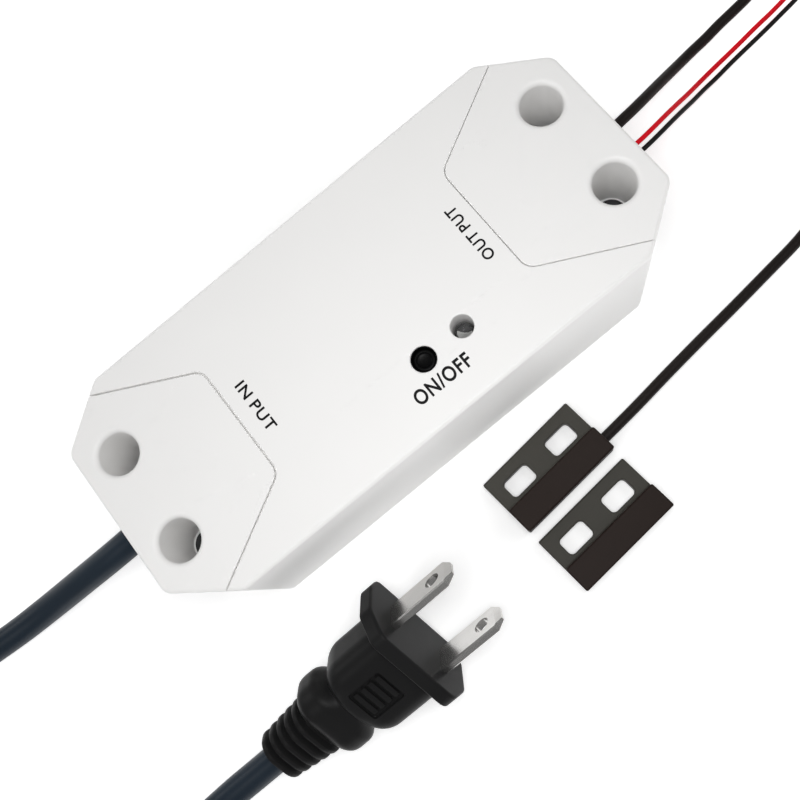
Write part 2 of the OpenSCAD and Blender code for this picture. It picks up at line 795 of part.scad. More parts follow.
module relay_coil() {
    bore = core_d / 2 + seat_fit;
    color("chocolate") translate([coil_x, coil_y, relay_floor + yoke_t]) rotate_extrude()
        polygon([[bore, 0], [4.6, 0], [4.6, 0.7], [4.1, 0.7], [4.1, coil_h - 0.7],
            [4.6, coil_h - 0.7], [4.6, coil_h], [bore, coil_h]]);
}

module relay_yoke() {
    color("gray") union() {
        translate([coil_x - 2, coil_y - armature_w / 2, relay_floor])
            cube([yoke_x + yoke_t - coil_x + 2, armature_w, yoke_t]);
        translate([yoke_x, coil_y - armature_w / 2, relay_floor])
            cube([yoke_t, armature_w, armature_z - pivot_gap - relay_floor]);
        translate([coil_x, coil_y, relay_floor]) cylinder(d = core_d, h = pole_z - relay_floor);
    }
}

module relay_armature() {
    reach = yoke_x + yoke_t - (relay_x + relay_skin) - 0.6;
    color("silver") translate([yoke_x + yoke_t - reach, coil_y - armature_w / 2, armature_z])
        cube([reach, armature_w, armature_t]);
}

module relay_fixed_contact() {
    color("gold") translate([relay_x + relay_skin + 0.3, coil_y - 1.5, relay_floor]) union() {
        cube([1.2, 3, contact_top - relay_floor - 0.4]);
        translate([0.6, 1.5, 0]) cylinder(d = 1.6, h = contact_top - relay_floor);
    }
}

module switch_body() {
    color("black") difference() {
        translate([button_x - switch_w / 2, button_y - switch_w / 2, board_top])
            cube([switch_w, switch_w, switch_h]);
        translate([button_x, button_y, plunger_bottom - button_travel - 0.3])
            cylinder(d = plunger_d + 4 * seat_fit, h = switch_h);
    }
}

module switch_plunger() {
    color("black") translate([button_x, button_y, plunger_bottom])
        cylinder(d = plunger_d, h = plunger_top - plunger_bottom);
}

module push_button() {
    collar_top = guide_z - collar_gap;
    color(black) translate([button_x, button_y, 0]) union() {
        translate([0, 0, cap_bottom]) cylinder(d = button_d, h = button_cap_h);
        translate([0, 0, plunger_top]) cylinder(d = button_stem_d, h = cap_top - plunger_top - 1);
        translate([0, 0, collar_top - collar_h]) cylinder(d = button_collar_d, h = collar_h);
    }
}

module status_lamp() {
    lens_r = lamp_d / 2;
    color([0.9, 0.9, 0.88, 0.6]) translate([lamp_x, lamp_y, 0]) union() {
        translate([0, 0, lamp_base_z]) cylinder(d = lamp_flange_d, h = 1);
        translate([0, 0, lamp_base_z]) cylinder(r = lens_r, h = lamp_top - lens_r - lamp_base_z);
        translate([0, 0, lamp_top - lens_r]) sphere(r = lens_r);
    }
}

module lamp_leads() {
    side = 0.5;
    color("silver") for (s = [-1, 1])
        translate([lamp_x + s * lamp_lead_gap / 2 - side / 2, lamp_y - side / 2, board_top])
            cube([side, side, lamp_base_z - board_top]);
}

// Cord entries
module input_grommet() {
    color(black) along_x(lead_face_x, lead_y, lead_z) difference() {
        union() {
            cylinder(d = grommet_d + 2 * lip, h = lip_t);
            cylinder(d = grommet_d - 2 * seat_fit, h = wall + 2 * lip_t);
            translate([0, 0, wall + lip_t]) cylinder(d = grommet_d + 2 * lip, h = lip_t);
        }
        translate([0, 0, -cut_over]) cylinder(d = lead_d + 2 * seat_fit, h = wall + 6 * lip_t);
    }
}

module output_grommet_slab(x, length, grow) {
    translate([x, output_grommet_y, wire_z]) rotate([90, 0, 90]) linear_extrude(length)
        polygon(rounded_rect(output_grommet + [grow, grow], 1));
}

module output_grommet() {
    color(black) difference() {
        union() {
            output_grommet_slab(end_x, lip_t, 2 * lip);
            output_grommet_slab(end_x - wall, wall, -2 * seat_fit);
            output_grommet_slab(end_x - wall - lip_t, lip_t, 2 * lip);
        }
        for (hole = [[cable_y, cable_d], [red_y, wire_d], [black_y, wire_d]])
            along_x(end_x - wall - 2 * lip_t, hole[0], wire_z)
                cylinder(d = hole[1] + 2 * seat_fit, h = wall + 4 * lip_t);
    }
}

module cord_clamp() {
    color(cover_white) difference() {
        translate([clamp_x - clamp_l / 2, lead_y - clamp_w / 2, lead_z + clamp_gap])
            cube([clamp_l, clamp_w, clamp_h]);
        along_x(clamp_x - clamp_l, lead_y, lead_z) cylinder(d = lead_d + 2 * seat_fit, h = 2 * clamp_l);
        clamp_screw_places() translate([0, 0, lead_z])
            cylinder(d = clamp_screw_d + 0.3, h = case_h);
    }
}

module clamp_screws() {
    seat = lead_z + clamp_gap + clamp_h;
    color("silver") clamp_screw_places() translate([0, 0, seat])
        screw(clamp_screw_d, clamp_h + 5, 1.8 * clamp_screw_d, 1.4);
}

module lead_inner_end() {
    color(navy) along_x(lead_face_x, lead_y, lead_z) cylinder(d = lead_d, h = stub_end_x - lead_face_x);
}

module lead_cores() {
    along = [1, 0, 0];
    run = input_terminal_x - stub_end_x;
    drop = lead_z - entry_z;
    color("saddlebrown") for (s = [-1, 1]) {
        pole_y = s * pole_pitch / 2;
        path = [
            [stub_end_x, lead_y + s * 1.3, lead_z],
            [stub_end_x + 0.35 * run, lead_y + s * 1.55, lead_z - 0.2 * drop],
            [input_terminal_x - 0.2 * run, pole_y, entry_z + 0.05 * drop],
            [input_terminal_x + 1, pole_y, entry_z]
        ];
        tube(path, core_wire_d, 8, along, along);
    }
}

module cable_inner_end() {
    color(black) along_x(bend_x, cable_y, wire_z) cylinder(d = cable_d, h = wire_face_x - bend_x);
}

// Wire that drops from the grommet's height into a pole of the output terminal block
module dropped_wire(d, x, y, pole_y) {
    back = [-1, 0, 0];
    last = len(drop_bend) - 1;
    bend = [for (i = [0:last]) [
        terminal_face_x + drop_bend[i][0],
        y + (pole_y - y) * min(1, (i + 1) / last),
        entry_z + (wire_z - entry_z) * drop_bend[i][1]
    ]];
    path = concat(
        [[x, y, wire_z]],
        x > bend_x ? [[bend_x, y, wire_z]] : [],
        bend,
        [[terminal_face_x - 1.5, pole_y, entry_z]]
    );
    tube(path, d, 8, back, back);
}

module cable_cores() {
    color("gray") for (k = [0, 1])
        dropped_wire(cable_core_d, bend_x, cable_y + (k - 0.5) * 1.05, output_pole_y[2 + k]);
}

module red_wire_inner() {
    color(wire_red) dropped_wire(wire_d, wire_face_x, red_y, output_pole_y[1]);
}

module black_wire_inner() {
    color(black) dropped_wire(wire_d, wire_face_x, black_y, output_pole_y[0]);
}

// Mains lead
module lead_at_case() {
    color(navy) tube(
        concat([[lead_face_x, lead_y, lead_z]], lead_case_points, [lead_route[0]]),
        lead_d, 10, [-1, 0, 0], coil_dir(90, 1));
}

module lead_coil_wound() {
    color(navy) wound("mains lead coil", lead_route, lead_d);
}

module lead_at_plug() {
    last = lead_route[len(lead_route) - 1];
    color(navy) tube(concat([last], lead_plug_points, [relief_end]),
        lead_d, 10, coil_dir(90 + 360 * lead_turns, 1), plug_axis);
}

module on_plug() {
    translate([plug_face.x, plug_face.y, plug_z]) rotate([plug_roll, -plug_pitch, 0]) children();
}

// Slice across the plug: an outline in its own Y and Z, from x over a length
module plug_slice(x, length, points) {
    translate([x, 0, 0]) rotate([90, 0, 90]) linear_extrude(length) polygon(points);
}

// Slice of the rounded shoulder between the grip, at 0, and the neck, at 1
module shoulder_slice(t) {
    share = sqrt(1 - t * t);
    plug_slice(-flange_l - grip_l - plug_shoulder * t, slice_t,
        rounded_rect(neck + (grip - neck) * share, neck_r + (grip_r - neck_r) * share));
}

// Slice of the bulb behind the neck, at one place of its outline
module bulb_slice(place) {
    depth = place[1];
    plug_slice(-(plug_l - relief_l - bulb_l) - bulb_l * place[0], slice_t,
        rounded_rect(bulb - 2 * depth * [1, 1], bulb_r - depth));
}

// Strain relief: ribs that grow smaller along a core
module plug_relief() {
    pitch = relief_l / relief_ribs;
    core = relief - 2 * rib_depth * [1, 1];
    core_in = rib_share * pitch / 2;
    plug_slice(core_in - plug_l, relief_l, rounded_rect(core, relief_r - rib_depth));
    for (k = [1:relief_ribs]) {
        share = (k - 1) / (relief_ribs - 1);
        plug_slice(-plug_l + (relief_ribs - k) * pitch, rib_share * pitch,
            rounded_rect(relief_start + (relief - relief_start) * share,
                relief_start_r + (relief_r - relief_start_r) * share));
    }
}

module blade_bars(grow, from, to) {
    for (s = [-1, 1]) translate([from, s * blade_pitch / 2 - blade_t / 2 - grow, -blade_h / 2 - grow])
        cube([to - from, blade_t + 2 * grow, blade_h + 2 * grow]);
}

module plug_body() {
    half_w = plug_w / 2;
    half_h = plug_h / 2;
    low = flange_end[0];
    high = flange_end[1];
    recess_z = grip.y / 2 - label.z;
    color(black) on_plug() difference() {
        union() {
            plug_slice(-flange_l, flange_l, [
                [half_w, low], [half_w, high],
                [flange_label_corner, half_h], [-flange_label_corner, half_h],
                [-half_w, high], [-half_w, low],
                [-flange_back_corner, -half_h], [flange_back_corner, -half_h]
            ]);
            plug_slice(-flange_l - grip_l, grip_l, rounded_rect(grip, grip_r));
            for (k = [0:shoulder_steps - 1]) hull() {
                shoulder_slice(k / shoulder_steps);
                shoulder_slice((k + 1) / shoulder_steps);
            }
            for (k = [0:len(bulb_shape) - 2]) hull() {
                bulb_slice(bulb_shape[k]);
                bulb_slice(bulb_shape[k + 1]);
            }
            plug_relief();
        }
        translate([label_x - label.x / 2, -label.y / 2, recess_z]) cube([label.x, label.y, grip.y]);
        blade_bars(seat_fit, -blade_root - seat_fit, cut_over);
    }
    color(black) on_plug() for (k = [0:label_bars - 1])
        translate([label_x + (k - (label_bars - 1) / 2) * label_bar_pitch - label_bar.x / 2,
            -label_bar.y / 2, recess_z - 0.2])
            cube([label_bar.x, label_bar.y, label.z]);
}

module plug_blades() {
    tip = 2.2;
    color(nickel) on_plug() difference() {
        blade_bars(0, -blade_root, blade_l);
        for (s = [-1, 1]) translate([blade_l - 4.2, s * blade_pitch / 2, 0]) rotate([90, 0, 0])
            cylinder(d = blade_hole_d, h = 3 * blade_t, center = true);
        for (s = [-1, 1], t = [-1, 1])
            translate([blade_l, s * blade_pitch / 2, t * blade_h / 2]) rotate([0, 45, 0])
                cube([tip, 3 * blade_t, tip], center = true);
    }
}

// Door sensor, its cable and its magnet
module cable_at_case() {
    color(black) tube(concat([[wire_face_x, cable_y, wire_z]], cable_case_points, [cable_route[0]]),
        cable_d, 8, [1, 0, 0], coil_dir(90, -1));
}

module cable_coil_wound() {
    color(black) wound("sensor cable coil", cable_route, cable_d);
}

module cable_at_sensor() {
    last = cable_route[len(cable_route) - 1];
    color(black) tube(concat([last], cable_sensor_points, [cable_end]),
        cable_d, 8, coil_dir(90 - 360 * cable_turns, -1), -cable_turn_dir);
}

module on_sensor() {
    translate(sensor_place) rotate([0, 0, block_turn]) children();
}

module on_magnet() {
    translate(magnet_place) rotate([0, 0, block_turn]) children();
}

// Block with a thin slotted flange and a raised half that is hollow from below
module slotted_block() {
    difference() {
        union() {
            translate([-sensor_l / 2, -sensor_w / 2, 0]) cube([sensor_l, sensor_w, flange_t]);
            translate([-sensor_l / 2, -sensor_w / 2, 0]) cube([sensor_l, raised_w, sensor_h]);
        }
        for (s = [-1, 1]) translate([s * slot_pitch / 2, slot_y, -cut_over])
            linear_extrude(flange_t + 2 * cut_over) polygon(rounded_rect([slot_l, slot_w], slot_r));
        translate([-potting.x / 2, raised_y - potting.y / 2, -cut_over])
            cube([potting.x, potting.y, potting.z + cut_over]);
    }
}

module potting_block() {
    translate([-potting.x / 2 + seat_fit, raised_y - potting.y / 2 + seat_fit, 0])
        cube([potting.x - 2 * seat_fit, potting.y - 2 * seat_fit, potting.z - seat_fit]);
}

module sensor_housing() {
    color(sensor_grey) on_sensor() slotted_block();
}

module sensor_potting() {
    color(resin) on_sensor() difference() {
        potting_block();
        along_x(-reed_l / 2 - seat_fit, raised_y, reed_z)
            cylinder(d = reed_d + 2 * seat_fit, h = reed_l + 2 * seat_fit);
        along_x(-sensor_l / 2, raised_y, reed_z) cylinder(d = reed_lead_d + 2 * seat_fit, h = sensor_l);
    }
}

module reed_switch() {
    lead_l = potting.x - 2;
    color([0.6, 0.8, 0.7, 0.6]) on_sensor() union() {
        along_x(-reed_l / 2, raised_y, reed_z) cylinder(d = reed_d, h = reed_l);
        along_x(-lead_l / 2, raised_y, reed_z) cylinder(d = reed_lead_d, h = lead_l);
    }
}

module magnet_housing() {
    color(sensor_grey) on_magnet() slotted_block();
}

module magnet_cube(grow) {
    size = magnet_bar_size + 2 * grow * [1, 1, 1];
    translate([-size.x / 2, raised_y - size.y / 2, potting.z / 2 - size.z / 2]) cube(size);
}

module magnet_potting() {
    color(resin) on_magnet() difference() {
        potting_block();
        magnet_cube(seat_fit);
    }
}

module magnet_bar() {
    color("silver") on_magnet() magnet_cube(0);
}

// Output wires
module red_wire() {
    color(wire_red) tube(concat([[wire_face_x, red_y, wire_z]], red_points, [red_route[0]]),
        wire_d, 8, [1, 0, 0], coil_dir(-90, 1));
}

module red_wire_coil() {
    color(wire_red) wound("red wire coil", red_route, wire_d);
}

module black_wire() {
    color(black) tube(concat([[wire_face_x, black_y, wire_z]], black_points, [black_route[0]]),
        wire_d, 8, [1, 0, 0], coil_dir(90, -1));
}

module black_wire_coil() {
    color(black) wound("black wire coil", black_route, wire_d);
}

module wire_tips() {
    color("peru") for (route = [red_route, black_route]) {
        end = route[len(route) - 1];
        along_x(end.x, end.y, end.z) cylinder(d = 0.6 * wire_d, h = tip_l);
    }
}

module coil_ties() {
    color(black) {
        coil_tie(lead_coil, lead_coil_r, lead_turns, lead_layers, lead_pitch_r, lead_d,
            tie_t, tie_w, 180);
        coil_tie(cable_coil, cable_coil_r, cable_turns, cable_layers, cable_pitch_r, cable_d,
            tie_t, tie_w, 0);
        for (centre = [red_coil, black_coil])
            coil_tie(centre, wire_coil_r, wire_turns, wire_layers, wire_pitch_r, wire_d,
                wire_tie_t, wire_tie_w, 180);
    }
}

main_cover();
base_plate();
input_end_cover();
output_end_cover();
cover_screws();
circuit_board();
board_screws();
input_terminal_block();
output_terminal_block();
terminal_screws();
power_module();
bulk_capacitor();
fuse();
varistor();
radio_board();
radio_shield();
relay_base();
relay_cover();
relay_coil();
relay_yoke();
relay_armature();
relay_fixed_contact();
switch_body();
switch_plunger();
push_button();
status_lamp();
lamp_leads();
input_grommet();
output_grommet();
cord_clamp();
clamp_screws();
lead_inner_end();
lead_cores();
cable_inner_end();
cable_cores();
red_wire_inner();
black_wire_inner();
lead_at_case();
lead_coil_wound();
lead_at_plug();
plug_body();
plug_blades();
cable_at_case();
cable_coil_wound();
cable_at_sensor();
sensor_housing();
sensor_potting();
reed_switch();
magnet_housing();
magnet_potting();
magnet_bar();
red_wire();
red_wire_coil();
black_wire();
black_wire_coil();
wire_tips();
coil_ties();
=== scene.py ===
"""Garage door controller: the looks of its case, plug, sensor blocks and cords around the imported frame.

Shapes are written in millimetres in the frame of the part, and scaled to metres as each piece is made.
"""

import json
from math import acos, atan, atan2, cos, pi, radians, sin, sqrt, tan

import bmesh
import bpy
from mathutils import Matrix, Vector, geometry


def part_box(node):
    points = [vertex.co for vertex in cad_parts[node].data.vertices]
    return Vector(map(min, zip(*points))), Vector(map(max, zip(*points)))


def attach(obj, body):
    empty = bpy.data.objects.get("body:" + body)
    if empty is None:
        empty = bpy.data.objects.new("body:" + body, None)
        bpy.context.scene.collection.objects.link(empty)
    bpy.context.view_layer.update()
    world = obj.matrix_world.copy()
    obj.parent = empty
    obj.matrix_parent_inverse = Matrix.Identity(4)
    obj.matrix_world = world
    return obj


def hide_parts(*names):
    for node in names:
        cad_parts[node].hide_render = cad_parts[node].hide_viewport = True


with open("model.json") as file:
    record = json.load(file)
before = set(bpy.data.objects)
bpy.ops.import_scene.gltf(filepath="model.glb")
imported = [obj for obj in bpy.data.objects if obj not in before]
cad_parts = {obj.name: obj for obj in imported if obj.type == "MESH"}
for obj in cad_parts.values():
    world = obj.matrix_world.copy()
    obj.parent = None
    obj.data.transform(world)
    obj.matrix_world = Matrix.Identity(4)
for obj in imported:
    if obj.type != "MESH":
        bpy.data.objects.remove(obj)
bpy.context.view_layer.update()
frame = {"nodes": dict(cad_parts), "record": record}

MM = 0.001
CONTROLLER = "controller"


def span(node):
    """Lowest and highest corner of a CAD node, in millimetres."""
    low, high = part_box(node)
    return low / MM, high / MM


def add_object(name, data):
    made = bpy.data.objects.new(name, data)
    bpy.context.scene.collection.objects.link(made)
    return made


# Camera of the photograph
CAMERA_PLACE = Vector((0.0, -55.3, 189.8)) * MM
CAMERA_RIGHT = Vector((0.77298, -0.61124, -0.16996))
CAMERA_FORWARD = Vector((-0.0208, 0.24334, -0.96972))
PICTURE = 800
FOCAL_PIXELS = 983.3
SENSOR_WIDTH = 36.0
CLIP_START = 0.005
CLIP_END = 60


def add_camera():
    camera = bpy.data.cameras.new("camera")
    camera.sensor_width = SENSOR_WIDTH
    camera.lens = SENSOR_WIDTH * FOCAL_PIXELS / PICTURE
    camera.clip_start = CLIP_START
    camera.clip_end = CLIP_END
    back = -CAMERA_FORWARD.normalized()
    right = CAMERA_RIGHT.normalized()
    up = back.cross(right).normalized()
    turn = Matrix((right, up, back)).transposed()
    holder = add_object("camera", camera)
    holder.matrix_world = Matrix.Translation(CAMERA_PLACE) @ turn.to_4x4()
    bpy.context.scene.camera = holder


add_camera()


# Materials
LEAST_ROUGHNESS = 0.02
GLOSS_SPREAD = 2.5
GRAIN_DEPTH = 0.1
MATERIALS = {}


def surface(name, colour, roughness, mottle=0.04, mottle_size=9.0, grain=0.06, grain_size=0.3,
            rough_change=0.06, stretch=(1, 1, 1), specular=0.5, **sockets):
    """Adds a material with mottled colour, uneven gloss and fine grain, all from object coordinates."""
    made = bpy.data.materials.new(name)
    made.use_nodes = True
    MATERIALS[name] = made
    nodes = made.node_tree.nodes
    links = made.node_tree.links
    shader = nodes["Principled BSDF"]
    shader.inputs["Specular IOR Level"].default_value = specular
    for socket, value in sockets.items():
        shader.inputs[socket.replace("_", " ")].default_value = value
    coordinates = nodes.new("ShaderNodeTexCoord")
    mapping = nodes.new("ShaderNodeMapping")
    mapping.inputs["Scale"].default_value = stretch
    links.new(coordinates.outputs["Object"], mapping.inputs["Vector"])

    def noise(size, detail=2.0):
        """Noise whose features are about size millimetres across."""
        texture = nodes.new("ShaderNodeTexNoise")
        texture.inputs["Scale"].default_value = 1 / (size * MM)
        texture.inputs["Detail"].default_value = detail
        links.new(mapping.outputs["Vector"], texture.inputs["Vector"])
        return texture.outputs["Fac"]

    blend = nodes.new("ShaderNodeMix")
    blend.data_type = "RGBA"
    blend.inputs["A"].default_value = (*[c * (1 - mottle) for c in colour], 1)
    blend.inputs["B"].default_value = (*[min(1, c * (1 + mottle)) for c in colour], 1)
    links.new(noise(mottle_size, detail=3), blend.inputs["Factor"])
    links.new(blend.outputs["Result"], shader.inputs["Base Color"])

    gloss = nodes.new("ShaderNodeMapRange")
    gloss.inputs["To Min"].default_value = max(LEAST_ROUGHNESS, roughness - rough_change)
    gloss.inputs["To Max"].default_value = min(1, roughness + rough_change)
    links.new(noise(GLOSS_SPREAD * mottle_size), gloss.inputs["Value"])
    links.new(gloss.outputs["Result"], shader.inputs["Roughness"])

    if grain:
        bump = nodes.new("ShaderNodeBump")
        bump.inputs["Strength"].default_value = grain
        bump.inputs["Distance"].default_value = GRAIN_DEPTH * MM
        links.new(noise(grain_size, detail=4), bump.inputs["Height"])
        links.new(bump.outputs["Normal"], shader.inputs["Normal"])
    return made


surface("case_white", (0.978, 0.971, 0.96), 0.46, mottle=0.012, grain=0.05)
surface("black_screw", (0.03, 0.03, 0.032), 0.35, grain_size=0.8, Metallic=0.7)
surface("steel_screw", (0.62, 0.62, 0.61), 0.3, grain_size=0.6, Metallic=1.0)
surface("board_green", (0.02, 0.13, 0.06), 0.35, mottle=0.15, mottle_size=3)
surface("terminal_green", (0.03, 0.22, 0.1), 0.45)
surface("component_black", (0.02, 0.02, 0.022), 0.5, grain=0.15)
surface("capacitor_sleeve", (0.015, 0.02, 0.06), 0.3)
surface("fuse_ceramic", (0.62, 0.55, 0.42), 0.5)
surface("varistor_blue", (0.03, 0.12, 0.42), 0.4, grain=0.15)
surface("radio_blue", (0.01, 0.03, 0.12), 0.4)
surface("shield_tin", (0.66, 0.66, 0.65), 0.3, Metallic=1.0)
surface("relay_blue", (0.04, 0.17, 0.55), 0.35)
surface("coil_copper", (0.5, 0.19, 0.08), 0.35, stretch=(1, 1, 9), Metallic=0.9)
surface("soft_iron", (0.5, 0.5, 0.49), 0.38, Metallic=1.0)
surface("contact_silver", (0.78, 0.77, 0.74), 0.25, Metallic=1.0)
surface("button_black", (0.003, 0.003, 0.0032), 0.34, mottle=0.1, grain=0.03, specular=0.08)
surface("lamp_clear", (0.12, 0.12, 0.12), 0.08, mottle=0.02, grain=0.0, rough_change=0.02,
        Alpha=0.3, IOR=1.5)
# Bright satin for the lamp's half cup: a painted highlight inside the lens, not a reflection of the lamps
surface("lamp_painted_highlight", (0.85, 0.85, 0.83), 0.35, mottle=0.05, mottle_size=0.6, Metallic=0.35)
surface("tinned_lead", (0.7, 0.7, 0.69), 0.25, Metallic=1.0)
surface("black_rubber", (0.014, 0.014, 0.015), 0.6, grain=0.12)
surface("lead_black", (0.0185, 0.0285, 0.0415), 0.38, mottle=0.12, grain=0.05, grain_size=0.5, specular=0.15)
surface("core_brown", (0.2, 0.07, 0.03), 0.4)
surface("core_grey", (0.4, 0.4, 0.4), 0.4)
surface("plug_black", (0.0145, 0.0145, 0.0148), 0.38, mottle=0.15, grain=0.08, grain_size=0.35,
        specular=0.07)
surface("blade_nickel", (0.7, 0.69, 0.675), 0.24, mottle=0.06, mottle_size=2.0, rough_change=0.08,
        stretch=(0.2, 1, 1), Metallic=1.0)
surface("cable_black", (0.016, 0.0125, 0.0115), 0.48, mottle=0.1, specular=0.12)
surface("sensor_grey", (0.052, 0.049, 0.041), 0.55, mottle=0.08, grain=0.1, grain_size=0.25, specular=0.2)
surface("sensor_dark", (0.019, 0.0115, 0.009), 0.55, mottle=0.1, grain=0.1, grain_size=0.25, specular=0.14)
surface("resin_black", (0.012, 0.01, 0.01), 0.2, grain=0.02)
surface("reed_glass", (0.6, 0.75, 0.68), 0.08, grain=0.0, Transmission_Weight=0.8)
surface("magnet_metal", (0.45, 0.45, 0.46), 0.35, Metallic=1.0)
surface("wire_red", (0.88, 0.005, 0.018), 0.4, mottle=0.06, grain_size=0.25, specular=0.15)
surface("wire_black", (0.014, 0.013, 0.013), 0.42, grain_size=0.25, specular=0.12)
surface("copper", (0.72, 0.3, 0.16), 0.28, mottle=0.1, mottle_size=1.0, Metallic=1.0)
surface("tie_black", (0.016, 0.016, 0.017), 0.5, grain=0.2, grain_size=0.6)
surface("print_black", (0.004, 0.004, 0.0045), 0.5, mottle=0.2, mottle_size=1.0, grain=0.0, specular=0.15)


def dress_frame():
    """Gives each CAD node the material of its slot in the record."""
    for row in frame["record"]["subparts"]:
        mesh = frame["nodes"][row["node"]].data
        mesh.materials.clear()
        mesh.materials.append(MATERIALS[row["material_slot"]])


dress_frame()


# Meshes made ring by ring
MERGE = 0.001


class Skin:
    """Points, in millimetres, and faces of one closed piece."""

    def __init__(self):
        self.points = []
        self.faces = []

    def ring(self, points):
        first = len(self.points)
        self.points.extend(Vector(p) for p in points)
        return list(range(first, len(self.points)))

    def band(self, a, b, closed=True, skip=()):
        count = len(a)
        for i in range(count if closed else count - 1):
            if i not in skip:
                j = (i + 1) % count
                self.faces.append((a[i], a[j], b[j], b[i]))

    def loft(self, rings, closed=True):
        for a, b in zip(rings, rings[1:]):
            self.band(a, b, closed)

    def fill(self, outer, holes=()):
        loops = [outer, *holes]
        corners = [i for loop in loops for i in loop]
        shapes = [[self.points[i] for i in loop] for loop in loops]
        for face in geometry.tessellate_polygon(shapes):
            self.faces.append(tuple(corners[k] for k in face))

    def level(self, points, z):
        return self.ring([(p.x, p.y, z) for p in points])

    def capped(self, rings):
        """Loft that is closed at both ends."""
        self.loft(rings)
        self.fill(rings[0])
        self.fill(rings[-1])

    def looped(self, rings):
        """Loft whose last ring meets the first again."""
        self.loft([*rings, rings[0]])


def solid(name, skin, place=None):
    """Object of a skin with its faces turned outwards, in metres."""
    mesh = bpy.data.meshes.new(name)
    mesh.from_pydata([p * MM for p in skin.points], [], skin.faces)
    if place is not None:
        mesh.transform(place)
    work = bmesh.new()
    work.from_mesh(mesh)
    bmesh.ops.remove_doubles(work, verts=work.verts, dist=MERGE * MM)
    bmesh.ops.recalc_face_normals(work, faces=work.faces)
    work.to_mesh(mesh)
    work.free()
    return add_object(name, mesh)


def carve(made, cutter):
    """Cuts another solid out of a piece."""
    cut = made.modifiers.new("cut", "BOOLEAN")
    cut.object = cutter
    cut.operation = "DIFFERENCE"
    cut.solver = "EXACT"
    graph = bpy.context.evaluated_depsgraph_get()
    mesh = bpy.data.meshes.new_from_object(made.evaluated_get(graph))
    made.modifiers.clear()
    made.data = mesh
    bpy.data.objects.remove(cutter)


def piece(made, finish, replaced=(), body=CONTROLLER, sharp=32):
    """Shades a solid, gives it its finish and its body, and hides the CAD nodes that it stands for."""
    mesh = made.data
    mesh.shade_smooth()
    mesh.set_sharp_from_angle(angle=radians(sharp))
    mesh.materials.clear()
    mesh.materials.append(MATERIALS[finish])
    normals = made.modifiers.new("normals", "WEIGHTED_NORMAL")
    normals.keep_sharp = True
    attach(made, body)
    if replaced:
        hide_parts(*replaced)
    return made


# Plane outlines
LEAST_R = 0.3
TINY = 1e-6
SQUARE = ((-1, -1), (1, -1), (1, 1), (-1, 1))


def offset_corner(p, q, s, before, after):
    """Corner q of a counterclockwise outline once the edges p-q and q-s are drawn in."""
    u = (q - p).normalized()
    v = (s - q).normalized()
    n = Vector((-u.y, u.x))
    m = Vector((-v.y, v.x))
    turn = n.x * m.y - n.y * m.x
    if abs(turn) < TINY:
        return q + n * before
    a = n.dot(q) + before
    b = m.dot(q) + after
    return Vector(((a * m.y - b * n.y) / turn, (n.x * b - m.x * a) / turn))


def corner_arc(p, q, s, radius, steps):
    if not steps:
        return [q]
    u = (p - q).normalized()
    v = (s - q).normalized()
    half = acos(max(-1, min(1, u.dot(v)))) / 2
    centre = q + (u + v).normalized() * radius / sin(half)
    start = q + u * radius / tan(half) - centre
    end = q + v * radius / tan(half) - centre
    angle = atan2(start.y, start.x)
    sweep = atan2(end.y, end.x) - angle
    sweep = (sweep + pi) % (2 * pi) - pi
    arc = []
    for i in range(steps + 1):
        a = angle + sweep * i / steps
        arc.append(centre + radius * Vector((cos(a), sin(a))))
    return arc


def outline(corners, insets):
    """Points of each corner (x, y, radius, steps) once insets[i] draws in the edge after corner i."""
    count = len(corners)
    flat = [Vector(c[:2]) for c in corners]
    places = []
    for i in range(count):
        places.append(offset_corner(flat[i - 1], flat[i], flat[(i + 1) % count], insets[i - 1], insets[i]))
    arcs = []
    for i, (_, _, radius, steps) in enumerate(corners):
        p, q, s = places[i - 1], places[i], places[(i + 1) % count]
        inset = (insets[i - 1] + insets[i]) / 2
        inward = (q - p).cross(s - q) < 0
        arcs.append(corner_arc(p, q, s, max(radius + (inset if inward else -inset), LEAST_R), steps))
    return arcs


def arc_starts(arcs):
    """Index of each corner's first point in the ring of an outline, and the ring's length."""
    starts = [0]
    for arc in arcs:
        starts.append(starts[-1] + len(arc))
    return starts


def joined(arcs):
    return [p for arc in arcs for p in arc]


def rounded_box(x, y, half_x, half_y, radius, steps, inset=0.0):
    corners = [(x + a * half_x, y + b * half_y, radius, steps) for a, b in SQUARE]
    return joined(outline(corners, [inset] * len(corners)))


def circle(x, y, radius, z, sides=48):
    turns = [2 * pi * k / sides for k in range(sides)]
    return [Vector((x + radius * cos(a), y + radius * sin(a), z)) for a in turns]


def quarter_turn(steps):
    """Cosine and sine of even steps through a right angle."""
    angles = [pi / 2 * k / steps for k in range(steps + 1)]
    return [(cos(a), sin(a)) for a in angles]


FILLET_STEPS = 6


def fillet_drops(*radii):
    """Depths below a top face that trace quarter-round edges of these radii."""
    drops = set()
    for radius in radii:
        drops.update(round(radius * (1 - c), 5) for c, _ in quarter_turn(FILLET_STEPS))
    return sorted(drops)


def fillet_inset(radius, drop):
    """How far a quarter-round edge is drawn in at a depth below its top."""
    if drop >= radius:
        return 0.0
    return radius - sqrt(radius ** 2 - (radius - drop) ** 2)


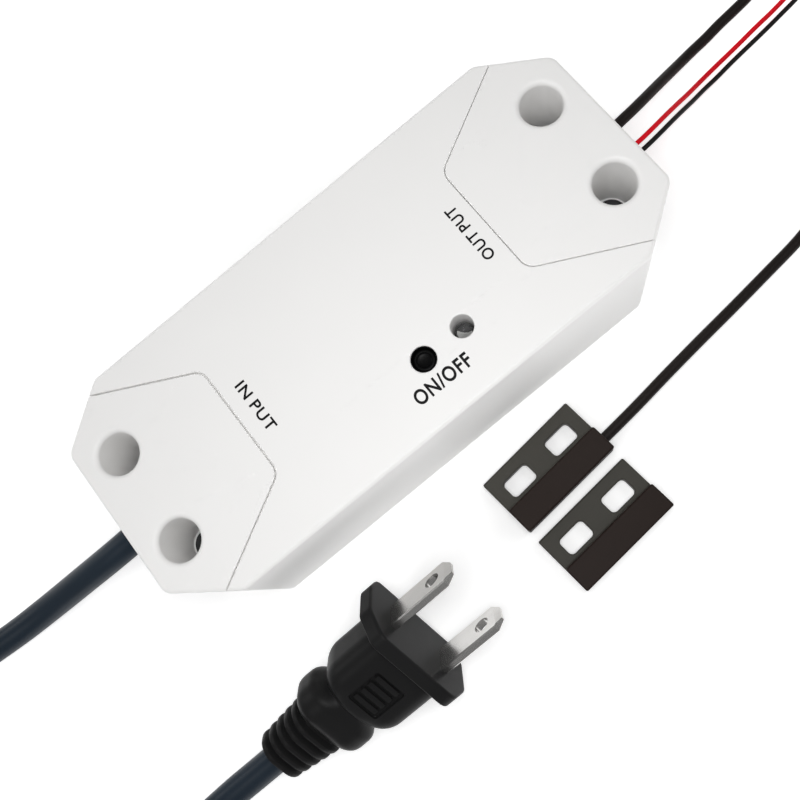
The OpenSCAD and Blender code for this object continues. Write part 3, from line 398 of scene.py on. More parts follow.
# Case
COVER_LOW, COVER_HIGH = span("main_cover")
END_X = COVER_HIGH.x
SIDE_Y = COVER_HIGH.y
TOP_Z = COVER_HIGH.z
FOOT_Z = COVER_LOW.z
END_HALF = 15.25
TAPER_L = 11.5
CORNER_R = 2.5
WALL = 2.0
TOP_T = 2.0
CEILING_Z = TOP_Z - TOP_T
SKIRT_L = 8.0
SKIRT_Z = span("input_end_cover")[1].z - SKIRT_L
COVER_L = 28
SEAM_X = END_X - COVER_L
SEAM_HALF = 11.5
SEAM_R = 3.0
INPUT_SEAM = 0.28
OUTPUT_SEAM = 0.14
TONGUE_GAP = 0.02
SHOULDER_L = 9.0
EDGE_ROUND = 0.7
SEAM_ROUND = 0.15
SEAM_DEPTH = 0.9
LEVEL_GAP = 0.05
ARC_STEPS = 6
TAPER_X = END_X - TAPER_L
SHOULDER = Vector((END_X - SHOULDER_L, END_HALF + (SIDE_Y - END_HALF) * SHOULDER_L / TAPER_L))
BUTTON = Vector((4.0, -12.3))
BUTTON_HOLE_R = 2.3
LAMP = Vector((12.5, -12.1))
LAMP_HOLE_R = 2.05
GUIDE_WALL = 1.1
GUIDE_L = 5
GUIDE_Z = CEILING_Z - GUIDE_L
RIM_ROUND = 0.25
WELL = Vector((47.7, 9.6))
WELL_R = 3.8
WELL_OUTER_R = 5.0
WELL_SEAT_Z = 13.0
WELL_FLOOR_Z = 11.5
WELL_SCREW_R = 1.7
WELL_ROUND = 1.0
# Down a well, through its screw hole and up its outside
WELL_PROFILE = [
    (WELL_R, WELL_SEAT_Z), (WELL_SCREW_R, WELL_SEAT_Z), (WELL_SCREW_R, WELL_FLOOR_Z),
    (WELL_OUTER_R, WELL_FLOOR_Z), (WELL_OUTER_R, CEILING_Z),
]
LEAD_Y = 1.2
LEAD_Z = 13.0
LEAD_D = 5.7
LEAD_HOLE_R = 4.6
WIRE_Z = 13.0
WIRE_HOLE = Vector((9.8, 5.0))
WIRE_HOLE_R = 1.0
WIRE_HOLE_Y = 0.2
CABLE_Y = 3.2
RED_Y = -1.8
BLACK_Y = -3.6
GROMMET_LIP = 1.2
LEAD_FACE_X = -END_X - GROMMET_LIP
WIRE_FACE_X = END_X + GROMMET_LIP


def seam_wall_point():
    """Point on the slanted seam that lies one wall's thickness in from the taper."""
    taper = (Vector((TAPER_X, SIDE_Y)) - SHOULDER).normalized()
    seam = (Vector((SEAM_X, SEAM_HALF)) - SHOULDER).normalized()
    return SHOULDER + seam * WALL / abs(taper.cross(seam))


SEAM_IN = seam_wall_point()
QUARTERS = ((1, -1), (1, 1), (-1, 1), (-1, -1))


def mirrored(run, quarters=QUARTERS):
    """Corners of one quarter of the case and their mirror images, counterclockwise."""
    corners = []
    for sx, sy in quarters:
        part = [(sx * x, sy * y, radius, steps) for x, y, radius, steps in run]
        corners += part if sx * sy < 0 else part[::-1]
    return corners


TAPER_CORNER = (TAPER_X, SIDE_Y, CORNER_R, ARC_STEPS)
END_CORNER = (END_X, END_HALF, CORNER_R, ARC_STEPS)
SHOULDER_CORNER = (*SHOULDER, 0, 0)
INNER_CORNER = (*SEAM_IN, 0, 0)
SEAM_CORNER = (SEAM_X, SEAM_HALF, SEAM_R, ARC_STEPS)
CASE = mirrored([TAPER_CORNER, END_CORNER])
CASE_ARCS = outline(CASE, [0] * len(CASE))
INNER_ARCS = outline(CASE, [WALL] * len(CASE))
# The top between the end covers and an end cover, each with whether the edge after a corner is a seam
DECK = mirrored([TAPER_CORNER, SHOULDER_CORNER, INNER_CORNER, SEAM_CORNER])
DECK_SEAMS = [False, True, True, True, True, True, False, False] * 2
COVER = mirrored([SEAM_CORNER, INNER_CORNER, SHOULDER_CORNER, END_CORNER], QUARTERS[:2])
COVER_SEAMS = [True, True, False, False, False, True, True, True]


def top_rings(skin, corners, seams, groove):
    """Plate whose seams have a groove down to a tongue: its top ring, and its lowest ring by corners."""
    rings = []
    arcs = []
    drops = [*fillet_drops(EDGE_ROUND, SEAM_ROUND), TOP_T]
    if groove:
        levels = [(drop, groove) for drop in drops if drop < SEAM_DEPTH - LEVEL_GAP]
        levels += [(SEAM_DEPTH, groove), (SEAM_DEPTH, TONGUE_GAP)]
        levels += [(drop, TONGUE_GAP) for drop in drops if drop > SEAM_DEPTH + LEVEL_GAP]
    else:
        levels = [(drop, 0) for drop in drops]
    for drop, gap in levels:
        seam_in = gap + fillet_inset(SEAM_ROUND, drop)
        edge_in = fillet_inset(EDGE_ROUND, drop)
        arcs = outline(corners, [seam_in if seam else edge_in for seam in seams])
        if groove and gap < groove:
            # The groove runs on down the outer wall
            wide = outline(corners, [groove if seam else edge_in for seam in seams])
            arcs = [wide[k] if seams[k - 1] != seams[k] else arcs[k] for k in range(len(arcs))]
        rings.append(skin.level(joined(arcs), TOP_Z - drop))
    skin.loft(rings)
    starts = arc_starts(arcs)
    return rings[0], [rings[-1][a:b] for a, b in zip(starts, starts[1:])]


def top_hole(skin, x, y, round_r, profile):
    """Hole with a rounded rim, then by (radius, z) points: its rings in the top and in the underside."""
    radius = profile[0][0]
    rim = [(radius + fillet_inset(round_r, drop), TOP_Z - drop) for drop in fillet_drops(round_r)]
    rings = [skin.ring(circle(x, y, r, z)) for r, z in [*rim, *profile]]
    skin.loft(rings)
    return rings[0], rings[-1]


def guide_profile(radius):
    outer_r = radius + GUIDE_WALL
    return [(radius, GUIDE_Z), (outer_r, GUIDE_Z), (outer_r, CEILING_Z)]


def lowered(skin, loop, z):
    return skin.level([skin.points[i] for i in loop], z)


def end_wall_hole(side):
    """Outline of the cord's hole in an end wall, as (y, z)."""
    if side < 0:
        return [(p.x, p.y) for p in circle(LEAD_Y, LEAD_Z, LEAD_HOLE_R, 0)]
    points = rounded_box(0, 0, *(WIRE_HOLE / 2), WIRE_HOLE_R, ARC_STEPS)
    return [(p.x + WIRE_HOLE_Y, p.y + WIRE_Z) for p in points]


def main_cover():
    skin = Skin()
    top, under = top_rings(skin, DECK, DECK_SEAMS, 0)
    button_top, button_under = top_hole(skin, *BUTTON, RIM_ROUND, guide_profile(BUTTON_HOLE_R))
    lamp_top, lamp_under = top_hole(skin, *LAMP, RIM_ROUND, guide_profile(LAMP_HOLE_R))
    skin.fill(top, [button_top, lamp_top])

    underside = []
    for side in range(2):
        # Long side: its outer corners, shoulders and the points where the seam meets the inner wall
        first = 8 * side
        before = (first - 1) % 16
        outer = under[before - 1] + under[before] + under[first] + under[first + 1]
        seam_end = under[first + 2]
        seam_start = under[before - 2]
        arcs = [INNER_ARCS[(4 * side - 1) % 8], INNER_ARCS[4 * side]]
        inner = [*seam_start, *skin.level(joined(arcs), CEILING_Z), *seam_end]
        skirt_out = lowered(skin, outer, SKIRT_Z)
        skirt_in = lowered(skin, inner, SKIRT_Z)
        foot_out = lowered(skin, outer, FOOT_Z)
        foot_in = lowered(skin, inner, FOOT_Z)
        skin.loft([outer, skirt_out, foot_out, foot_in, skirt_in, inner], closed=False)
        for k in (0, -1):
            skin.faces.append((outer[k], inner[k], skirt_in[k], skirt_out[k]))
        underside += inner + under[first + 3] + under[first + 4]
    skin.fill(underside, [button_under, lamp_under])

    for side, first in ((1, 1), (-1, 5)):
        # End wall below its cover: from shoulder to shoulder, with the cord's hole
        ends = [Vector((side * SHOULDER.x, side * s * SHOULDER.y)) for s in (-1, 1)]
        inner_ends = [Vector((side * SEAM_IN.x, side * s * SEAM_IN.y)) for s in (-1, 1)]
        outer = [ends[0], *joined(CASE_ARCS[first:first + 2]), ends[1]]
        inner = [inner_ends[0], *joined(INNER_ARCS[first:first + 2]), inner_ends[1]]
        loops = []
        for points in (outer, inner):
            loops.append([skin.level(points, z) for z in (SKIRT_Z, FOOT_Z)])
        skin.band(loops[0][0], loops[1][0], closed=False)
        skin.band(loops[0][1], loops[1][1], closed=False)
        middle = ARC_STEPS + 1
        holes = []
        for (upper, lower), x in zip(loops, (END_X, END_X - WALL)):
            skin.band(upper[:middle + 1], lower[:middle + 1], closed=False)
            skin.band(upper[middle + 1:], lower[middle + 1:], closed=False)
            hole = skin.ring([Vector((side * x, y, z)) for y, z in end_wall_hole(side)])
            flat = [upper[middle], upper[middle + 1], lower[middle + 1], lower[middle]]
            skin.fill(flat, [hole])
            holes.append(hole)
        skin.band(*holes)
    piece(solid("case_cover", skin), "case_white", ["main_cover"])


def end_cover(name, side, seam_gap):
    skin = Skin()
    top, under = top_rings(skin, COVER, COVER_SEAMS, seam_gap)
    wells = [top_hole(skin, WELL.x, sy * WELL.y, WELL_ROUND, WELL_PROFILE) for sy in (-1, 1)]
    skin.fill(top, [rim for rim, _ in wells])
    outer = under[2] + under[3] + under[4] + under[5]
    inner = [*under[1], *skin.level(joined(INNER_ARCS[1:3]), CEILING_Z), *under[6]]
    # The same groove runs along the foot of the skirt
    lip_z = SKIRT_Z + seam_gap
    lip_arcs = outline(COVER, [TONGUE_GAP if seam else SEAM_DEPTH for seam in COVER_SEAMS])
    lip_out = lowered(skin, outer, lip_z)
    lip_in = skin.level(joined(lip_arcs[2:6]), lip_z)
    skirt_out = lowered(skin, lip_in, SKIRT_Z)
    skirt_in = lowered(skin, inner, SKIRT_Z)
    skin.loft([outer, lip_out, lip_in, skirt_out, skirt_in, inner], closed=False)
    for k in (0, -1):
        skin.faces.append((outer[k], inner[k], lip_in[k], lip_out[k]))
        skin.faces.append((inner[k], skirt_in[k], skirt_out[k], lip_in[k]))
    skin.fill(inner + under[7] + under[0], [joint for _, joint in wells])
    for p in skin.points:
        p.x *= side
    piece(solid(name + "_shell", skin), "case_white", [name])


main_cover()
end_cover("input_end_cover", -1, INPUT_SEAM)
end_cover("output_end_cover", 1, OUTPUT_SEAM)


# Turned pieces, from (radius, height) points
LATHE_SIDES = 64
AXIS_R = 0.02
BUTTON_STEM = [
    (1.2, 21.4), (2.6, 21.4), (2.8, 21.6), (2.8, 22.7), (2.6, 22.9), (1.2, 22.9), (1.2, 24.1), (1.8, 24.1),
    (2.0, 24.3),
]
BUTTON_R = 2.0
BUTTON_ROUND = 0.35
# The dish in the button's top, as depths below it
BUTTON_DISH = [
    (1.42, 0.02), (1.33, 0.1), (1.24, 0.22), (1.1, 0.28), (0.7, 0.34), (0.3, 0.36), (AXIS_R, 0.36),
]
# Thin black ring that lines the button's hole
SLEEVE_Z = GUIDE_Z + 1
BUTTON_SLEEVE = [
    (2.06, SLEEVE_Z), (2.06, TOP_Z - 0.4), (2.12, TOP_Z - 0.3), (2.24, TOP_Z - 0.3), (2.29, TOP_Z - 0.36),
    (2.29, SLEEVE_Z),
]
# The lamp's pieces, as heights above the foot of its lens
LENS_R = 1.5
LENS_FOOT = [(AXIS_R, 0), (1.8, 0), (1.9, 0.1), (1.9, 0.9), (1.8, 1), (LENS_R, 1)]
LAMP_SOCKET = [(AXIS_R, -0.7), (1.75, -0.7), (1.85, -0.6), (1.85, -0.05), (AXIS_R, -0.05)]
# Painted highlight and shade in the lamp: an LED has a cup and an anvil, but here the cup is a bright half
# ring on one side only and the anvil fills the other half in black, so the lens shows a painted highlight on
# one half and painted shade on the other
LAMP_CUP = [(AXIS_R, 1.2), (0.4, 1.2), (1.25, 1.7), (1.32, 1.7), (1.32, 0.7), (AXIS_R, 0.7)]
LAMP_ANVIL = [(0.12, 1.75), (1.2, 1.75), (1.32, 1.6), (1.32, 0.7), (0.12, 0.7)]
# Side that lies lowest in the camera's view, where the bright half cup paints the lens's highlight; the
# black anvil half faces the opposite way and paints its shade
PAINTED_HIGHLIGHT_TURN = 230
CUP_SWEEP = 200
ANVIL_SWEEP = 150
SECTOR_STEPS = 24
# The input grommet, as distances from its outer face
LEAD_BORE = LEAD_D / 2 + 0.05
GROMMET_IN = GROMMET_LIP + WALL
GROMMET = [
    (LEAD_BORE, 0.3), (LEAD_BORE + 0.3, 0.0), (5.1, 0.0), (5.45, 0.15), (5.6, 0.5), (5.6, 0.9), (5.5, 1.15),
    (5.3, GROMMET_LIP), (4.55, GROMMET_LIP), (4.55, GROMMET_IN), (5.3, GROMMET_IN), (5.5, 3.25), (5.6, 3.5),
    (5.6, 4.0), (5.4, 4.4), (LEAD_BORE, 4.4),
]


def moved(x, y, z=0.0):
    return Matrix.Translation(Vector((x, y, z)) * MM)


def turned(skin, profile):
    return [skin.ring(circle(0, 0, radius, z, LATHE_SIDES)) for radius, z in profile]


def lathe(name, profile, place):
    """Solid of a profile turned round the z axis, from axis to axis."""
    skin = Skin()
    skin.capped(turned(skin, profile))
    return solid(name, skin, place)


def sleeve(name, section, place):
    """Solid of a closed section turned round the z axis."""
    skin = Skin()
    skin.looped(turned(skin, section))
    return solid(name, skin, place)


def push_button():
    low, high = span("push_button")
    profile = [(BUTTON_STEM[0][0], low.z), *BUTTON_STEM]
    for c, s in quarter_turn(6):
        profile.append((BUTTON_R - BUTTON_ROUND * (1 - c), high.z - BUTTON_ROUND * (1 - s)))
    profile += [(radius, high.z - depth) for radius, depth in BUTTON_DISH]
    place = moved(*BUTTON)
    piece(lathe("button_cap", profile, place), "button_black", ["push_button"], "button")
    piece(sleeve("button_sleeve", BUTTON_SLEEVE, place), "button_black")


def lamp_sector(name, section, turn, sweep, place, finish):
    """Part of a turned piece in the lamp: its section swept through an angle."""
    skin = Skin()
    rings = []
    for k in range(SECTOR_STEPS + 1):
        a = radians(turn + sweep * (k / SECTOR_STEPS - 0.5))
        rings.append(skin.ring([(r * cos(a), r * sin(a), z) for r, z in section]))
    skin.capped(rings)
    piece(solid(name, skin, place), finish)


def status_lamp():
    low, high = span("status_lamp")
    place = moved(*LAMP, low.z)
    lens = list(LENS_FOOT)
    for c, s in quarter_turn(12):
        lens.append((max(AXIS_R, LENS_R * c), high.z - low.z - LENS_R * (1 - s)))
    piece(lathe("lamp_lens", lens, place), "lamp_clear", ["status_lamp"])
    piece(lathe("lamp_socket", LAMP_SOCKET, place), "component_black")
    # Bright half cup: painted highlight. Black anvil half: painted shade
    lamp_sector("lamp_reflector_painted_highlight", LAMP_CUP, PAINTED_HIGHLIGHT_TURN, CUP_SWEEP, place, "lamp_painted_highlight")
    lamp_sector("lamp_anvil_painted_shade", LAMP_ANVIL, PAINTED_HIGHLIGHT_TURN + 180, ANVIL_SWEEP, place, "component_black")


def input_grommet():
    place = moved(LEAD_FACE_X, LEAD_Y, LEAD_Z) @ Matrix.Rotation(pi / 2, 4, "Y")
    piece(sleeve("lead_grommet", GROMMET, place), "black_rubber", ["input_grommet"])


push_button()
status_lamp()
input_grommet()


# The plug lies tilted, on an edge of its flange and on the end of its relief
PLUG_L = 35.5
FLANGE_L = 2.8
FLANGE_HALF = Vector((12.0, 8.3))
LABEL_CORNER = 8.9
BACK_CORNER = 10.4
FLANGE_END = (-4.5, 3.1)
RELIEF = (10.0, 8.4, 3.7)
PLUG_ROLL = radians(30)
FLANGE_DROP = BACK_CORNER * sin(PLUG_ROLL) + FLANGE_HALF.y * cos(PLUG_ROLL)
RELIEF_FLAT = Vector((RELIEF[0] / 2 - RELIEF[2], RELIEF[1] / 2 - RELIEF[2]))
RELIEF_DROP = RELIEF_FLAT.x * sin(PLUG_ROLL) + RELIEF_FLAT.y * cos(PLUG_ROLL) + RELIEF[2]
PLUG_PITCH = atan((FLANGE_DROP - RELIEF_DROP) / (PLUG_L - FLANGE_L))
PLUG_Z = FLANGE_DROP * cos(PLUG_PITCH) + FLANGE_L * sin(PLUG_PITCH)
PLUG_FACE = Vector((-28.1, -46.9, PLUG_Z))
PLUG_AXIS = Vector((cos(PLUG_PITCH), 0, sin(PLUG_PITCH)))
RELIEF_END = PLUG_FACE - PLUG_L * PLUG_AXIS
LEAD_IN = 3
LEAD_TAIL = RELIEF_END + LEAD_IN * PLUG_AXIS

# The blocks lie side by side, and the cable ends in the raised half of the sensor block
BLOCK_L = 22.4
BLOCK_W = 12.6
RAISED_W = 5.5
RAISED_Y = (RAISED_W - BLOCK_W) / 2
BLOCK_TURN = Matrix.Rotation(radians(5.8), 4, "Z")
SENSOR_PLACE = Vector((9.7, -36.7, 0))
MAGNET_PLACE = Vector((11.0, -51.5, 0))
CABLE_D = 2.1
CABLE_IN = 0.7
CABLE_END = SENSOR_PLACE + BLOCK_TURN @ Vector((BLOCK_L / 2, RAISED_Y, CABLE_D / 2))
CABLE_TAIL = CABLE_END - BLOCK_TURN @ Vector((CABLE_IN, 0, 0))
WIRE_D = 0.95

# Cords: routes listed where they are loose, coils by their turns
LEAD_CASE = [
    (-64, 1.3, 12.1), (-74, 2.5, 8.4), (-84, 3.8, 4.5), (-94, 4.6, 2.9), (-106, 5.8, 2.9),
    (-120, 8.6, 3), (-134, 11.8, 3.4), (-147, 14, 3.8),
]
LEAD_PLUG = [
    (-148, -64.3, 9.2), (-134, -63, 6.4), (-120, -60, 3.8), (-107, -55.2, 2.9), (-95, -50.4, 2.9),
    (-84, -47.7, 2.9), (-76, -47, 2.9), (-69.5, -46.9, 3.3),
]
CABLE_CASE = [
    (61.5, 3.8, 12.6), (65, 4.3, 11.8), (69, 5.2, 10.1), (73, 6.3, 7.8), (77, 7.4, 5.4), (81, 8.4, 3.3),
    (85, 9.2, 1.9), (89, 9.7, 1.2), (93, 10.2, 1.1), (97, 10.5, 1.1), (101, 10.9, 1.1), (104.5, 11.7, 1.1),
    (107.5, 13.7, 1.1), (109.7, 16.9, 1.1), (111.3, 20.6, 1.1), (113.6, 24.6, 1.1), (117, 28, 1.2),
    (122, 29.7, 1.4), (130, 29.9, 1.7), (139, 29.9, 2),
]
CABLE_SENSOR = [
    (142, -2.2, 9), (136, -4.4, 6.6), (130, -7.7, 4), (124, -11.5, 2), (117, -15.2, 1.1),
    (110, -18.7, 1.1), (103, -22, 1.1), (95, -25.6, 1.1), (88, -28.7, 1.1), (81, -31.5, 1.1),
    (74, -33.2, 1.1), (65, -34.3, 1.1), (56, -35.3, 1.1), (47, -36.2, 1.1), (38, -37.2, 1.1),
    (30, -38.2, 1.1),
]
RED_POINTS = [
    (61.5, -1.5, 12.6), (65, -1, 11.8), (69, -0.1, 10), (73, 0.9, 7.6), (77, 1.9, 5), (81, 2.9, 2.8),
    (85, 3.7, 1.3), (89, 4.2, 0.7), (93, 4.6, 0.5), (98, 5.1, 0.5), (103, 5.5, 0.5), (108, 6.3, 0.5),
    (111.5, 8, 0.5), (114.5, 9.7, 0.6), (118, 11, 0.9),
]
BLACK_POINTS = [
    (61.5, -3.2, 12.6), (65, -2.7, 11.8), (69, -1.8, 10), (73, -0.8, 7.6), (77, 0.2, 5), (81, 1.2, 2.8),
    (85, 1.9, 1.3), (89, 2.5, 0.7), (93, 2.9, 0.5), (98, 3.3, 0.5), (103, 3.8, 0.5), (108.5, 4.5, 0.5),
    (111.5, 5.9, 0.5), (114.5, 7.7, 0.6), (118, 8.2, 0.9),
]
# Coils: middle, outer radius, turns, layers, pitch, the cord's diameter, and the tie's thickness and width
LEAD_WOUND = ((-165, -25), 39.5, 4.5, 2, 6.3, LEAD_D, (0.8, 6))
CABLE_WOUND = ((150, 14.1), 15.8, 10.5, 4, 2.6, CABLE_D, (0.8, 6))
RED_WOUND = ((122, 19), 7.4, 5, 2, 1.45, WIRE_D, (0.5, 2.5))
BLACK_WOUND = ((122, 0.5), *RED_WOUND[1:])
TIE_GAP = 0.3
COIL_STEPS = 24
CLIMB_TURNS = 0.5
CORD_STEPS = 4
CORD_BEVEL = 5


def coil(centre, outer_r, turns, layers, pitch, diameter, band, start, sense):
    """Loops that spiral in and out, a layer higher where they turn back, between two short straight ends."""
    low_z = diameter / 2 + TIE_GAP + band[0]
    per_layer = turns / layers
    points = []
    for i in range(int(turns * COIL_STEPS) + 1):
        u = i / COIL_STEPS
        layer = min(int(u / per_layer), layers - 1)
        part = u - layer * per_layer
        radius = outer_r - pitch * (part if layer % 2 == 0 else per_layer - part)
        angle = radians(start + sense * 360 * u)
        climb = sum(max(0, min(1, (u - j * per_layer) / CLIMB_TURNS + 0.5)) for j in range(1, layers))
        points.append(Vector((centre[0] + radius * cos(angle), centre[1] + radius * sin(angle),
                              low_z + pitch * climb)))
    ends = []
    for angle in (start, start + sense * 360 * turns):
        a = radians(angle)
        ends.append(sense * Vector((-sin(a), cos(a), 0)))
    return [points[0] - diameter * ends[0], *points, points[-1] + diameter * ends[1]]


def smooth(points, steps):
    """Catmull-Rom curve through the points."""
    points = [Vector(p) for p in points]
    padded = [2 * points[0] - points[1], *points, 2 * points[-1] - points[-2]]
    curve = []
    for a, b, c, d in zip(padded, padded[1:], padded[2:], padded[3:]):
        for k in range(steps):
            t = k / steps
            curve.append(0.5 * (2 * b + (c - a) * t + (2 * a - 5 * b + 4 * c - d) * t * t
                                + (3 * b - a - 3 * c + d) * t ** 3))
    return [*curve, points[-1]]


def cord(name, points, diameter, slot, replaced):
    """Round cord on one smooth line, in metres."""
    line = smooth(points, CORD_STEPS)
    curve = bpy.data.curves.new(name, "CURVE")
    curve.dimensions = "3D"
    curve.bevel_depth = diameter / 2 * MM
    curve.bevel_resolution = CORD_BEVEL
    curve.use_fill_caps = True
    spline = curve.splines.new("POLY")
    spline.points.add(len(line) - 1)
    for point, place in zip(spline.points, line):
        point.co = (*(place * MM), 1)
    spline.use_smooth = True
    curve.materials.append(MATERIALS[slot])
    made = add_object(name, curve)
    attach(made, CONTROLLER)
    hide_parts(*replaced)
    return made


LEAD_COIL = coil(*LEAD_WOUND, start=90, sense=1)
CABLE_COIL = coil(*CABLE_WOUND, start=90, sense=-1)
RED_COIL = coil(*RED_WOUND, start=-90, sense=1)
BLACK_COIL = coil(*BLACK_WOUND, start=90, sense=-1)

mains_lead = cord(
    "mains_lead",
    [(LEAD_FACE_X, LEAD_Y, LEAD_Z), *LEAD_CASE, *LEAD_COIL, *LEAD_PLUG, RELIEF_END, LEAD_TAIL],
    LEAD_D, "lead_black", ["lead_at_case", "lead_coil_wound", "lead_at_plug"])
sensor_cable = cord(
    "sensor_cable",
    [(WIRE_FACE_X, CABLE_Y, WIRE_Z), *CABLE_CASE, *CABLE_COIL, *CABLE_SENSOR, CABLE_END, CABLE_TAIL],
    CABLE_D, "cable_black", ["cable_at_case", "cable_coil_wound", "cable_at_sensor"])
red_lead = cord(
    "red_output_wire", [(WIRE_FACE_X, RED_Y, WIRE_Z), *RED_POINTS, *RED_COIL],
    WIRE_D, "wire_red", ["red_wire", "red_wire_coil"])
black_lead = cord(
    "black_output_wire", [(WIRE_FACE_X, BLACK_Y, WIRE_Z), *BLACK_POINTS, *BLACK_COIL],
    WIRE_D, "wire_black", ["black_wire", "black_wire_coil"])


# Plug: sections are distances from its axis at even angles, rounded boxes are (width, height, radius)
PLUG_SIDES = 128
PLUG_ANGLES = [2 * pi * k / PLUG_SIDES for k in range(PLUG_SIDES)]
FLANGE_SIDE = [
    (BACK_CORNER, -FLANGE_HALF.y, 1.6, 6), (FLANGE_HALF.x, FLANGE_END[0], 1.8, 6),
    (FLANGE_HALF.x, FLANGE_END[1], 2.4, 6), (LABEL_CORNER, FLANGE_HALF.y, 2.4, 6),
]
FLANGE = [*FLANGE_SIDE, *[(-x, *rest) for x, *rest in FLANGE_SIDE[::-1]]]
FACE_INSET = 0.8
FACE_ROUND = 0.5
FLANGE_ROUND = 0.35
GRIP_FILLET = 0.6
GRIP = (17.1, 12.4, 3.6)
NECK = (11.2, 11.2, 4.7)
BULB = (16.0, 11.9, 4.9)
BOX_STEPS = 8
GRIP_END = -12.2
NECK_X = -16.5
BULB_END = -24.4
# Along the bulb, as shares of its length: how far it has swelled, then the depth of its rounding
BULB_FRONT = [(0.02, 0.0), (0.07, 0.14), (0.14, 0.42), (0.22, 0.72), (0.31, 0.93), (0.4, 1.0)]
BULB_BACK = [(0.44, 0.0), (0.55, -0.02), (0.66, 0.0), (0.78, 0.2), (0.9, 0.9), (1, 2)]
RELIEF_START = (11.8, 9.6, 4.2)
RELIEF_RIBS = 5
PAIR_STEPS = 3
# Outline of one rib: share of its pitch, and depth below the rib's top
RIB_SHAPE = [
    (0.0, 1.1), (0.3, 1.1), (0.4, 0.85), (0.46, 0.3), (0.54, 0.05), (0.64, 0.0), (0.84, 0.0), (0.93, 0.08),
    (0.98, 0.4),
]
# The relief's rounded end and the bore for the lead, from that end
RELIEF_TAIL = [(0.1, 0.6), (0, 0.9)]
RELIEF_BORE = [(0, LEAD_BORE + 0.2), (0.2, LEAD_BORE), (2.5, LEAD_BORE)]
# Field on the label side: depths below the face, and how far the outline is drawn in there
LABEL_X = -10.4
LABEL_HALF = Vector((3.75, 3.45))
LABEL_R = 0.5
LABEL_DEPTH = 0.8
LABEL_LEVELS = [(LABEL_DEPTH, 0.15), (LABEL_DEPTH - 0.15, 0.0), (-3, 0.0)]
BARS = 4
BAR_PITCH = 1.75
BAR_HALF = Vector((0.55, 2.7))
BAR_R = 0.35
BAR_LEVELS = [(LABEL_DEPTH + 0.3, 0.0), (0.4, 0.0), (0.25, 0.06), (0.2, 0.2)]


def polar(points, angle):
    """Distance from the middle of a convex outline to its edge at an angle."""
    d = Vector((cos(angle), sin(angle)))
    best = 0.0
    for p, q in zip(points, points[1:] + points[:1]):
        edge = q - p
        cross = d.x * edge.y - d.y * edge.x
        if abs(cross) < TINY:
            continue
        t = (p.x * edge.y - p.y * edge.x) / cross
        u = (p.x * d.y - p.y * d.x) / cross
        if t > 0 and -TINY <= u <= 1 + TINY:
            best = max(best, t)
    return best


def flange_ring(inset):
    points = joined(outline(FLANGE, [inset] * len(FLANGE)))
    return [polar(points, a) for a in PLUG_ANGLES]


def box_ring(shape, depth=0.0):
    """Section of a rounded box whose skin is drawn in by a depth."""
    width, height, radius = shape
    points = rounded_box(0, 0, width / 2 - depth, height / 2 - depth, radius - depth, BOX_STEPS)
    return [polar(points, a) for a in PLUG_ANGLES]


def between(start, end, share):
    return [a + (b - a) * share for a, b in zip(start, end)]


def smooth_pairs(pairs):
    return [(p.x, p.y) for p in smooth([(*pair, 0) for pair in pairs], PAIR_STEPS)]


def plug_sections():
    """Places along the plug's axis, each with its section."""
    grip = box_ring(GRIP)
    neck = box_ring(NECK)
    bulb = box_ring(BULB)
    sections = [(0, flange_ring(FACE_INSET))]
    for c, s in quarter_turn(6):
        sections.append((-FACE_ROUND * (1 - c), flange_ring(FACE_ROUND * (1 - s))))
    for c, s in quarter_turn(4):
        sections.append((FLANGE_ROUND * (1 - s) - FLANGE_L, flange_ring(FLANGE_ROUND * (1 - c))))
    for c, s in quarter_turn(4):
        sections.append((-FLANGE_L - GRIP_FILLET * (1 - c), [r + GRIP_FILLET * (1 - s) for r in grip]))
    for c, s in quarter_turn(16):
        # Quarter of an ellipse from the grip into the neck
        sections.append((GRIP_END + (NECK_X - GRIP_END) * s, between(neck, grip, c)))
    for share, swell in smooth_pairs(BULB_FRONT):
        sections.append((NECK_X + (BULB_END - NECK_X) * share, between(neck, bulb, swell)))
    for share, depth in smooth_pairs(BULB_BACK):
        sections.append((NECK_X + (BULB_END - NECK_X) * share, box_ring(BULB, depth)))
    pitch = (PLUG_L + BULB_END) / RELIEF_RIBS
    for k in range(RELIEF_RIBS):
        rib = between(RELIEF_START, RELIEF, k / (RELIEF_RIBS - 1))
        for share, depth in RIB_SHAPE:
            sections.append((BULB_END - (k + share) * pitch, box_ring(rib, depth)))
    sections += [(x - PLUG_L, box_ring(RELIEF, depth)) for x, depth in RELIEF_TAIL]
    sections += [(x - PLUG_L, [radius] * PLUG_SIDES) for x, radius in RELIEF_BORE]
    return sections


def label_block(skin, x, half, radius, steps, levels):
    """Block with rounded corners on the plug's label side."""
    rings = []
    for depth, inset in levels:
        points = rounded_box(x, 0, *half, radius, steps, inset)
        rings.append(skin.level(points, GRIP[1] / 2 - depth))
    skin.capped(rings)


def plug_body():
    place = moved(*PLUG_FACE) @ Matrix.Rotation(-PLUG_PITCH, 4, "Y") @ Matrix.Rotation(PLUG_ROLL, 4, "X")
    skin = Skin()
    rings = []
    for x, radii in plug_sections():
        rings.append(skin.ring([(x, r * cos(a), r * sin(a)) for a, r in zip(PLUG_ANGLES, radii)]))
    skin.capped(rings)
    made = solid("plug_moulding", skin)
    recess = Skin()
    label_block(recess, LABEL_X, LABEL_HALF, LABEL_R, 4, LABEL_LEVELS)
    carve(made, solid("recess", recess))
    made.data.transform(place)
    moulding = piece(made, "plug_black", ["plug_body"])
    bars = Skin()
    for k in range(BARS):
        label_block(bars, LABEL_X + (k - (BARS - 1) / 2) * BAR_PITCH, BAR_HALF, BAR_R, 3, BAR_LEVELS)
    return moulding, piece(solid("plug_label_bars", bars, place), "plug_black"), place


